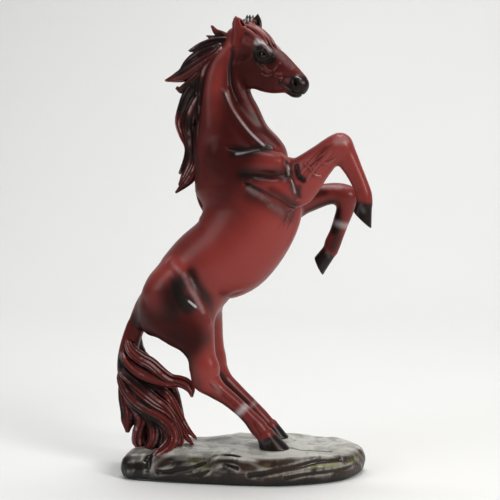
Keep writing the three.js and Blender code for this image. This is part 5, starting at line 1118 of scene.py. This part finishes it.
def part_off(mesh, cuts):
    """Cuts the mesh at each plane and closes it there."""
    work = bmesh.new()
    work.from_mesh(mesh)
    for (place, facing), gone, where in cuts:
        faces = [face for face in work.faces if where(face.calc_center_median() / MM)]
        around = {item for face in faces for item in (*face.edges, *face.verts)}
        bmesh.ops.bisect_plane(work, geom=faces + list(around), dist=CUT_TOLERANCE, plane_co=place * MM,
                               plane_no=facing, clear_outer=gone == "outer", clear_inner=gone == "inner")
        rim = [edge for edge in work.edges if edge.is_boundary]
        caps = bmesh.ops.holes_fill(work, edges=rim, sides=0)["faces"]
        bmesh.ops.triangulate(work, faces=caps)
    loose = [vertex for vertex in work.verts if not vertex.link_faces]
    bmesh.ops.delete(work, geom=loose, context="VERTS")
    work.to_mesh(mesh)
    work.free()


def finish_normals(mesh):
    outward = np.empty(3 * len(mesh.vertices))
    mesh.attributes["outward"].data.foreach_get("vector", outward)
    outward = unit(outward.reshape(-1, 3) + TINY)
    mesh.shade_smooth()
    mesh.normals_split_custom_set_from_vertices(outward)
    mesh.attributes.remove(mesh.attributes["outward"])


def dress(name, mesh, material, node):
    """Puts a mesh in the scene as a piece that stands for a node."""
    piece = bpy.data.objects.new(name, mesh)
    bpy.context.scene.collection.objects.link(piece)
    mesh.materials.append(material)
    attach(piece, "root")
    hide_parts(node)
    return piece


# Finishes: shader maths is written as arithmetic on signals

class Signal:
    """One output of a node, with arithmetic."""

    def __init__(self, finish, socket):
        self.finish, self.socket = finish, socket

    def math(self, operation, *values):
        return self.finish.node("ShaderNodeMath", {"operation": operation}, values)

    def __add__(self, other):
        return self.math("ADD", self, other)

    def __sub__(self, other):
        return self.math("SUBTRACT", self, other)

    def __rsub__(self, other):
        return self.math("SUBTRACT", other, self)

    def __mul__(self, other):
        return self.math("MULTIPLY", self, other)

    def swing(self, amount):
        """Noise about zero instead of about a half, and this many times as strong."""
        return (self - 0.5) * amount

    def clamped(self):
        return self.finish.node("ShaderNodeClamp", {}, [self])

    def between(self, start, end):
        """0 below start, 1 above end, and smooth between them."""
        return self.finish.node("ShaderNodeMapRange", {"interpolation_type": "SMOOTHSTEP"},
                                {"Value": self, "From Min": start, "From Max": end})

    __radd__ = __add__
    __rmul__ = __mul__


class Finish:
    """A material whose nodes all come from one method."""

    def __init__(self, name):
        self.material = bpy.data.materials.new(name)
        self.material.use_nodes = True
        self.tree = self.material.node_tree
        self.tree.nodes.clear()
        self.place = self.node("ShaderNodeTexCoord", {}, {}, "Object")

    def node(self, kind, settings, inputs, output=0):
        node = self.tree.nodes.new(kind)
        for name, value in settings.items():
            setattr(node, name, value)
        for key, value in (inputs.items() if isinstance(inputs, dict) else enumerate(inputs)):
            if isinstance(value, Signal):
                self.tree.links.new(value.socket, node.inputs[key])
            else:
                node.inputs[key].default_value = value
        return Signal(self, None if output is None else node.outputs[output])

    def noise(self, scale, detail=4.0, roughness=0.55, distortion=0.0):
        """Noise from 0 to 1, with its scale in waves for each metre."""
        return self.node("ShaderNodeTexNoise", {}, {
            "Vector": self.place, "Scale": scale, "Detail": detail, "Roughness": roughness,
            "Distortion": distortion})

    def mix(self, share, first, second):
        ends = [colour if isinstance(colour, Signal) else (*colour, 1.0) for colour in (first, second)]
        return self.node("ShaderNodeMix", {"data_type": "RGBA"}, {0: share, 6: ends[0], 7: ends[1]}, 2)

    def paint(self):
        """The five masks that a sculpted piece carries at its points."""
        colour = self.node("ShaderNodeAttribute", {"attribute_name": "paint"}, {}, "Color")
        parts = [self.node("ShaderNodeSeparateColor", {}, [colour], k) for k in range(3)]
        ridge = self.node("ShaderNodeAttribute", {"attribute_name": "paint"}, {}, "Alpha")
        return (*parts, ridge, self.node("ShaderNodeAttribute", {"attribute_name": "glow"}, {}, "Fac"))

    def bump(self, height, strength, distance):
        return self.node("ShaderNodeBump", {}, {
            "Height": height, "Strength": strength, "Distance": distance})

    def surface(self, **sockets):
        """The closing shader; socket names are written with underscores."""
        inputs = {name.replace("_", " "): value for name, value in sockets.items()}
        shader = self.node("ShaderNodeBsdfPrincipled", {}, inputs)
        self.node("ShaderNodeOutputMaterial", {}, {"Surface": shader}, None)
        return self.material


# Colours of the paint, with its shaded and lit reds and its highlight grey, the hair, the stone, the eyes,
# the felt, the steel and the wall
# Shaded and lit red, mixed by the painted light and shade
RED_SHADED = (0.04, 0.0055, 0.005)
RED_LIT = (0.245, 0.033, 0.028)
# A lighter red for the painted highlight on ridges
RED_RIDGE_HIGHLIGHT = (0.28, 0.06, 0.05)
BLACK = (0.004, 0.004, 0.004)
# Grey for the silver paint and the painted highlights
PALE_GREY_AND_HIGHLIGHT = (0.56, 0.55, 0.56)
HAIR_DEEP = (0.04, 0.006, 0.0055)
HAIR_LIGHT = (0.16, 0.02, 0.017)
# Pinkish grey for the painted glints on the hair
HAIR_GLINT = (0.55, 0.38, 0.38)
STONE_DARK = (0.010, 0.0065, 0.0045)
STONE_BROWN = (0.036, 0.023, 0.016)
STONE_RUST = (0.06, 0.022, 0.015)
# Pale grey for the wash and the painted light on what faces up
PALE_WASH_AND_TOP_LIGHT = (0.46, 0.45, 0.41)
# Near black for the painted shade in the rock's hollows
STONE_CREASE_SHADE = (0.008, 0.007, 0.006)
STONE_FOOT = (0.006, 0.005, 0.0045)
MOSS_GREEN = (0.2, 0.21, 0.07)
EYE_BLACK = (0.002, 0.002, 0.002)
EYE_BROWN = (0.008, 0.004, 0.003)
FELT_DARK = (0.012, 0.02, 0.015)
FELT_LIGHT = (0.035, 0.052, 0.04)
STEEL_DARK = (0.45, 0.46, 0.48)
STEEL_LIGHT = (0.62, 0.63, 0.65)
WALL_DARK = (0.70, 0.70, 0.69)
WALL_LIGHT = (0.74, 0.74, 0.73)
# The tint of the gloss over the red, and over the hair
RED_GLOSS = (0.9, 0.38, 0.34, 1)
HAIR_GLOSS = (0.9, 0.45, 0.41, 1)


def horse_lacquer():
    """Red-brown satin gloss with airbrushed black and painted shade, painted light and shade in the red, a
    painted highlight on ridges, and a dusting of silver grey with painted highlights.
    """
    finish = Finish("horse_lacquer")
    black_and_shade, grey_and_highlight, hollow, ridge, glow = finish.paint()
    cloud = finish.noise(30, 4, 0.55)
    grain = finish.noise(420, 5, 0.6)
    # Black from the airbrush and the painted shade
    black = (black_and_shade + cloud.swing(0.22) + grain.swing(0.08)).between(0.12, 0.95)
    # Painted shade: hollows and creases go darker
    black = (black + hollow * 0.6 * (1 - black)).clamped()
    # The red goes from shaded to lit with the painted light and shade, and with noise
    red = finish.mix((glow + cloud.swing(0.5)).between(0.0, 1.0), RED_SHADED, RED_LIT)
    # A painted highlight on ridges
    red = finish.mix(ridge * 0.3, red, RED_RIDGE_HIGHLIGHT)
    colour = finish.mix(black, red, BLACK)
    # Silver grey paint and painted highlights
    colour = finish.mix((grey_and_highlight + grain.swing(0.25)).between(0.12, 1.0) * 0.75, colour, PALE_GREY_AND_HIGHLIGHT)
    shine = glow.between(-0.2, 1.0) * 0.38 + ridge * 0.25 + 0.04
    return finish.surface(Base_Color=colour, Roughness=(0.42 + cloud * 0.1 + grey_and_highlight * 0.1), Coat_Weight=shine,
                          Coat_Roughness=0.28, Specular_IOR_Level=0.18, Specular_Tint=RED_GLOSS,
                          Normal=finish.bump(grain, 0.05, 0.0006))


def hair_lacquer():
    """The same gloss on the hair, black down in the grooves as painted shade and pinkish painted glints on
    the ridges.
    """
    finish = Finish("hair_lacquer")
    black_and_shade, _, hollow, ridge, glow = finish.paint()
    cloud = finish.noise(45, 3, 0.5)
    grain = finish.noise(520, 5, 0.6)
    fleck = finish.noise(75, 3, 0.6)
    black = (black_and_shade + cloud.swing(0.6) + (PLAIN_GLOW - glow) * 0.6).between(0.15, 0.9) * (1 - ridge * 0.2)
    # Painted shade: the grooves between the strands go black
    black = (black + (hollow * 1.6).clamped() * (1 - black)).clamped()
    red = finish.mix((glow + cloud.swing(1.2)).clamped(), HAIR_DEEP, HAIR_LIGHT)
    # A painted highlight on the ridges of the strands
    red = finish.mix(ridge * 0.3, red, RED_RIDGE_HIGHLIGHT)
    colour = finish.mix(black, red, BLACK)
    # Painted glints: pinkish flecks on the ridges
    painted_glint = fleck.between(0.5, 0.62) * ridge * (1 - black_and_shade * 0.8).clamped()
    colour = finish.mix(painted_glint * 0.5, colour, HAIR_GLINT)
    shine = painted_glint * 0.6 + 0.14
    return finish.surface(Base_Color=colour, Roughness=(0.32 + cloud * 0.1), Coat_Weight=shine,
                          Coat_Roughness=0.12, Specular_IOR_Level=0.15, Specular_Tint=HAIR_GLOSS,
                          Normal=finish.bump(grain, 0.06, 0.0005))


def rock_finish():
    """Dark stone with a silvery wash on its folds, partly painted light on what faces up, painted shade in
    its hollows, darker towards the bottom, and moss and rusty patches near the rim.
    """
    finish = Finish("rock_finish")
    moss, upward, hollow, ridge, height = finish.paint()
    cloud = finish.noise(18, 4, 0.55, 0.6)
    streak = finish.noise(34, 6, 0.6, 2.2)
    grit = finish.noise(520, 6, 0.7)
    stone = finish.mix(cloud.between(0.35, 0.7), STONE_DARK, STONE_BROWN)
    rust = streak.between(0.5, 0.66) * (1 - upward)
    stone = finish.mix(rust * 0.6, stone, STONE_RUST)
    broken = streak.between(0.4, 0.56)
    # The wash with painted light: paler on what faces up and on the ridges
    pale_wash_and_light = upward * (0.62 + 0.38 * broken) + ridge * height * 0.6 * broken
    # Painted shade: the wash thins in hollows
    pale_wash_and_light = (pale_wash_and_light - hollow * 0.5).clamped()
    colour = finish.mix(pale_wash_and_light, stone, PALE_WASH_AND_TOP_LIGHT)
    green = ((moss + streak.swing(1.6)).between(0.35, 0.85) * (0.45 + ridge * 0.7)).clamped()
    colour = finish.mix(green * 0.7, colour, MOSS_GREEN)
    # Painted shade in the hollows
    colour = finish.mix(hollow * 0.6, colour, STONE_CREASE_SHADE)
    colour = finish.mix((1 - height) * 0.85, colour, STONE_FOOT)
    relief = streak * 0.6 + grit * 0.4
    return finish.surface(Base_Color=colour, Roughness=(0.42 - pale_wash_and_light * 0.14 + grit * 0.1), Coat_Weight=0.36,
                          Coat_Roughness=0.13, Specular_IOR_Level=0.12,
                          Normal=finish.bump(relief, 0.5, 0.0016))


def eye_finish():
    """Polished black with a hint of brown."""
    finish = Finish("eye_finish")
    cloud = finish.noise(300, 2)
    colour = finish.mix(cloud.between(0.4, 0.7), EYE_BLACK, EYE_BROWN)
    return finish.surface(Base_Color=colour, Roughness=0.12, Coat_Weight=0.35, Coat_Roughness=0.05,
                          Specular_IOR_Level=0.2, Normal=finish.bump(cloud, 0.01, 0.0002))


def felt_finish():
    """Dark green felt with loose fibres."""
    finish = Finish("felt_finish")
    fibres = finish.noise(900, 8, 0.75, 1.5)
    tufts = finish.noise(160, 4)
    colour = finish.mix(fibres, FELT_DARK, FELT_LIGHT)
    return finish.surface(Base_Color=colour, Roughness=(0.88 + tufts * 0.1), Sheen_Weight=0.5,
                          Normal=finish.bump(fibres, 0.8, 0.0005))


def steel_finish():
    """Drawn steel with fine scratches."""
    finish = Finish("steel_finish")
    scratches = finish.noise(700, 3, 0.6, 3.0)
    colour = finish.mix(scratches, STEEL_DARK, STEEL_LIGHT)
    return finish.surface(Base_Color=colour, Metallic=1.0, Roughness=(0.28 + scratches * 0.18),
                          Normal=finish.bump(scratches, 0.15, 0.0002))


# Eyes, each a bead with a raised cornea
EYE_PLACE = [24.2, 7.4, 7.9]
EYE_FACING = [0.10, 0.98, 0.14]
EYE_RADIUS = 4.3
# How far the cornea rises, in shares of the radius, and how wide it is, in radians from the front
CORNEA_RISE = 0.05
CORNEA_WIDTH = 0.55
EYE_RINGS = 20
EYE_SIDES = 40


def eye_bead(name, side):
    """A ball turned on the line to the side, whose front swells into the cornea."""
    mirror = np.array([1, side, 1])
    front = Vector(unit(mirror * EYE_FACING) @ HEAD_AXES)
    centre = Vector(HEAD_PLACE + (mirror * EYE_PLACE) @ HEAD_AXES)
    across = front.orthogonal().normalized()
    other = front.cross(across)
    work = bmesh.new()
    rings = []
    for k in range(1, EYE_RINGS):
        polar = math.pi * k / EYE_RINGS
        swell = EYE_RADIUS * (1 + CORNEA_RISE * math.exp(-(polar / CORNEA_WIDTH) ** 2))
        height, radius = swell * math.cos(polar), swell * math.sin(polar)
        ring = []
        for j in range(EYE_SIDES):
            turn = 2 * math.pi * j / EYE_SIDES
            place = centre + front * height + (across * math.cos(turn) + other * math.sin(turn)) * radius
            ring.append(work.verts.new(place * MM))
        rings.append(ring)
    tip = work.verts.new((centre + front * EYE_RADIUS * (1 + CORNEA_RISE)) * MM)
    root = work.verts.new((centre - front * EYE_RADIUS) * MM)
    for j in range(EYE_SIDES):
        after = (j + 1) % EYE_SIDES
        work.faces.new([tip, rings[0][j], rings[0][after]])
        work.faces.new([root, rings[-1][after], rings[-1][j]])
        for upper, lower in zip(rings[:-1], rings[1:]):
            work.faces.new([upper[j], lower[j], lower[after], upper[after]])
    bmesh.ops.recalc_face_normals(work, faces=work.faces[:])
    mesh = bpy.data.meshes.new(name)
    work.to_mesh(mesh)
    work.free()
    mesh.shade_smooth()
    return mesh


# The felt pad, cut to the base's outline and a little soft at its edges
PAD_INSET = 4
PAD_STEPS = 5
PAD_SOFTNESS = 0.3
LEVEL_TOLERANCE = 1e-7


def felt_pad():
    ring = smooth_run(BASE_OUTLINE + BASE_OUTLINE[:1], PAD_STEPS)[:-1]
    ring = ring * (1 - PAD_INSET / np.linalg.norm(ring, axis=1, keepdims=True))
    work = bmesh.new()
    floor = [work.verts.new(Vector((x, y, 0)) * MM) for x, y in ring]
    low = work.faces.new(floor[::-1])
    roof = bmesh.ops.extrude_face_region(work, geom=[low])["geom"]
    for vertex in roof:
        if isinstance(vertex, bmesh.types.BMVert):
            vertex.co.z += PAD_THICKNESS * MM
    bmesh.ops.recalc_face_normals(work, faces=work.faces[:])
    rims = [edge for edge in work.edges if abs(edge.verts[0].co.z - edge.verts[1].co.z) < LEVEL_TOLERANCE]
    bmesh.ops.bevel(work, geom=rims, offset=PAD_SOFTNESS * MM, segments=2, profile=0.5, affect="EDGES")
    mesh = bpy.data.meshes.new("felt_pad")
    work.to_mesh(mesh)
    work.free()
    pad = dress("felt_pad", mesh, felt_finish(), "base_pad")


# Camera and light

CAMERA_AIM = Vector((5, 0, 173)) * MM
CAMERA_AROUND = math.radians(10)
CAMERA_ABOVE = math.radians(6.5)
CAMERA_DISTANCE = 1.0
PIXELS_PER_METRE = 1319
PHOTO_WIDTH = 500
SENSOR = 36
NEAR_LIMIT = 0.05
# Lamps: name, place and aim in metres, size, watts and colour
LAMPS = [
    ("wall_wash", (0, 0.5, 2.2), (0, 1.3, 0.6), (2.4, 0.4), 26, (1, 1, 1)),
    ("right_window", (1.3, -0.8, 0.9), (0, 0, 0.17), (0.34, 0.6), 13, (1, 0.98, 0.95)),
    ("left_window", (-1.2, -0.9, 0.9), (0, 0, 0.2), (0.8, 0.9), 7, (0.95, 0.98, 1)),
    ("ceiling", (0.1, 0.0, 1.6), (0, 0, 0.1), (0.8, 0.6), 9, (1, 1, 1)),
    ("lamp", (0.55, -0.55, 0.62), (0.02, 0, 0.25), (0.15, 0.15), 1.4, (1, 0.97, 0.92)),
]
ROOM_COLOUR = (0.86, 0.88, 0.9, 1)
ROOM_STRENGTH = 0.12
# The floor's reach, where it turns up into the wall, the turn's radius and angles, and the wall's top, in
# metres and radians
FLOOR_REACH = 4
TURN_START = 0.7
TURN_RADIUS = 0.6
TURNS = np.linspace(0.1, math.pi / 2, 14)
WALL_TOP = 4
# How far the floor lies below the pad, in millimetres
FLOOR_DROP = 0.1


def place_camera():
    data = bpy.data.cameras.new("camera")
    data.sensor_width = SENSOR
    data.lens = SENSOR * PIXELS_PER_METRE * CAMERA_DISTANCE / PHOTO_WIDTH
    data.clip_start = NEAR_LIMIT
    camera = bpy.data.objects.new("camera", data)
    level = math.cos(CAMERA_ABOVE)
    back = Vector((math.sin(CAMERA_AROUND) * level, -math.cos(CAMERA_AROUND) * level,
                   math.sin(CAMERA_ABOVE)))
    camera.location = CAMERA_AIM + back * CAMERA_DISTANCE
    camera.rotation_euler = (-back).to_track_quat("-Z", "Y").to_euler()
    bpy.context.scene.collection.objects.link(camera)
    bpy.context.scene.camera = camera


def soft_light(name, place, aim, size, power, colour):
    data = bpy.data.lights.new(name, "AREA")
    data.shape = "RECTANGLE"
    data.size, data.size_y = size
    data.energy = power
    data.color = colour
    light = bpy.data.objects.new(name, data)
    light.location = place
    light.rotation_euler = (Vector(aim) - Vector(place)).to_track_quat("-Z", "Y").to_euler()
    bpy.context.scene.collection.objects.link(light)


def backdrop():
    """A pale floor that sweeps up into a pale wall behind the horse."""
    profile = [(-FLOOR_REACH, 0), (TURN_START, 0)]
    for turn in TURNS:
        profile.append((TURN_START + TURN_RADIUS * math.sin(turn),
                        TURN_RADIUS - TURN_RADIUS * math.cos(turn)))
    profile.append((TURN_START + TURN_RADIUS, WALL_TOP))
    work = bmesh.new()
    rows = [[work.verts.new((x, y, z)) for y, z in profile] for x in (-FLOOR_REACH, FLOOR_REACH)]
    for k in range(len(profile) - 1):
        work.faces.new([rows[0][k], rows[1][k], rows[1][k + 1], rows[0][k + 1]])
    mesh = bpy.data.meshes.new("floor")
    work.to_mesh(mesh)
    work.free()
    mesh.shade_smooth()
    floor = bpy.data.objects.new("floor", mesh)
    floor.location.z = -FLOOR_DROP * MM
    bpy.context.scene.collection.objects.link(floor)
    pale = Finish("pale_floor")
    tone = pale.mix(pale.noise(3, 2), WALL_DARK, WALL_LIGHT)
    mesh.materials.append(pale.surface(Base_Color=tone, Roughness=0.7))


def studio():
    place_camera()
    backdrop()
    bpy.context.scene.view_settings.view_transform = "Standard"
    for lamp in LAMPS:
        soft_light(*lamp)
    world = bpy.data.worlds.new("studio")
    world.use_nodes = True
    room = world.node_tree.nodes["Background"]
    room.inputs["Color"].default_value = ROOM_COLOUR
    room.inputs["Strength"].default_value = ROOM_STRENGTH
    bpy.context.scene.world = world


# Putting it together
studio()
LACQUER, HAIR, ROCK, STEEL = horse_lacquer(), hair_lacquer(), rock_finish(), steel_finish()
MATERIALS = {"mane": HAIR, "tail": HAIR, "rock_base": ROCK}
with ThreadPoolExecutor(4) as pool:
    sculpted = dict(zip(CASTINGS, pool.map(sculpt, CASTINGS.values())))
for name, shape in sculpted.items():
    node, *_, cuts = CASTINGS[name]
    mesh = mesh_from(name, *shape)
    part_off(mesh, cuts)
    finish_normals(mesh)
    slot = "rock_resin" if name == "rock_base" else "painted_resin"
    dress(name, mesh, MATERIALS.get(name, LACQUER), node)
EYES = eye_finish()
for side, sign in (("right", -1), ("left", 1)):
    bead = f"{side}_eye_bead"
    dress(bead, eye_bead(bead, sign), EYES, f"{side}_eye")
felt_pad()
STEEL_NODES = ["neck_dowel", "tail_pin", "tail_foot_pin", "upper_mane_pin", "lower_mane_pin"]
STEEL_NODES += [f"{side}_{kind}" for side in ("right", "left")
                for kind in ("foreleg_dowel", "leg_rod", "rod_washer", "rod_nut")]
for node in STEEL_NODES:
    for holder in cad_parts[node].material_slots:
        holder.material = STEEL
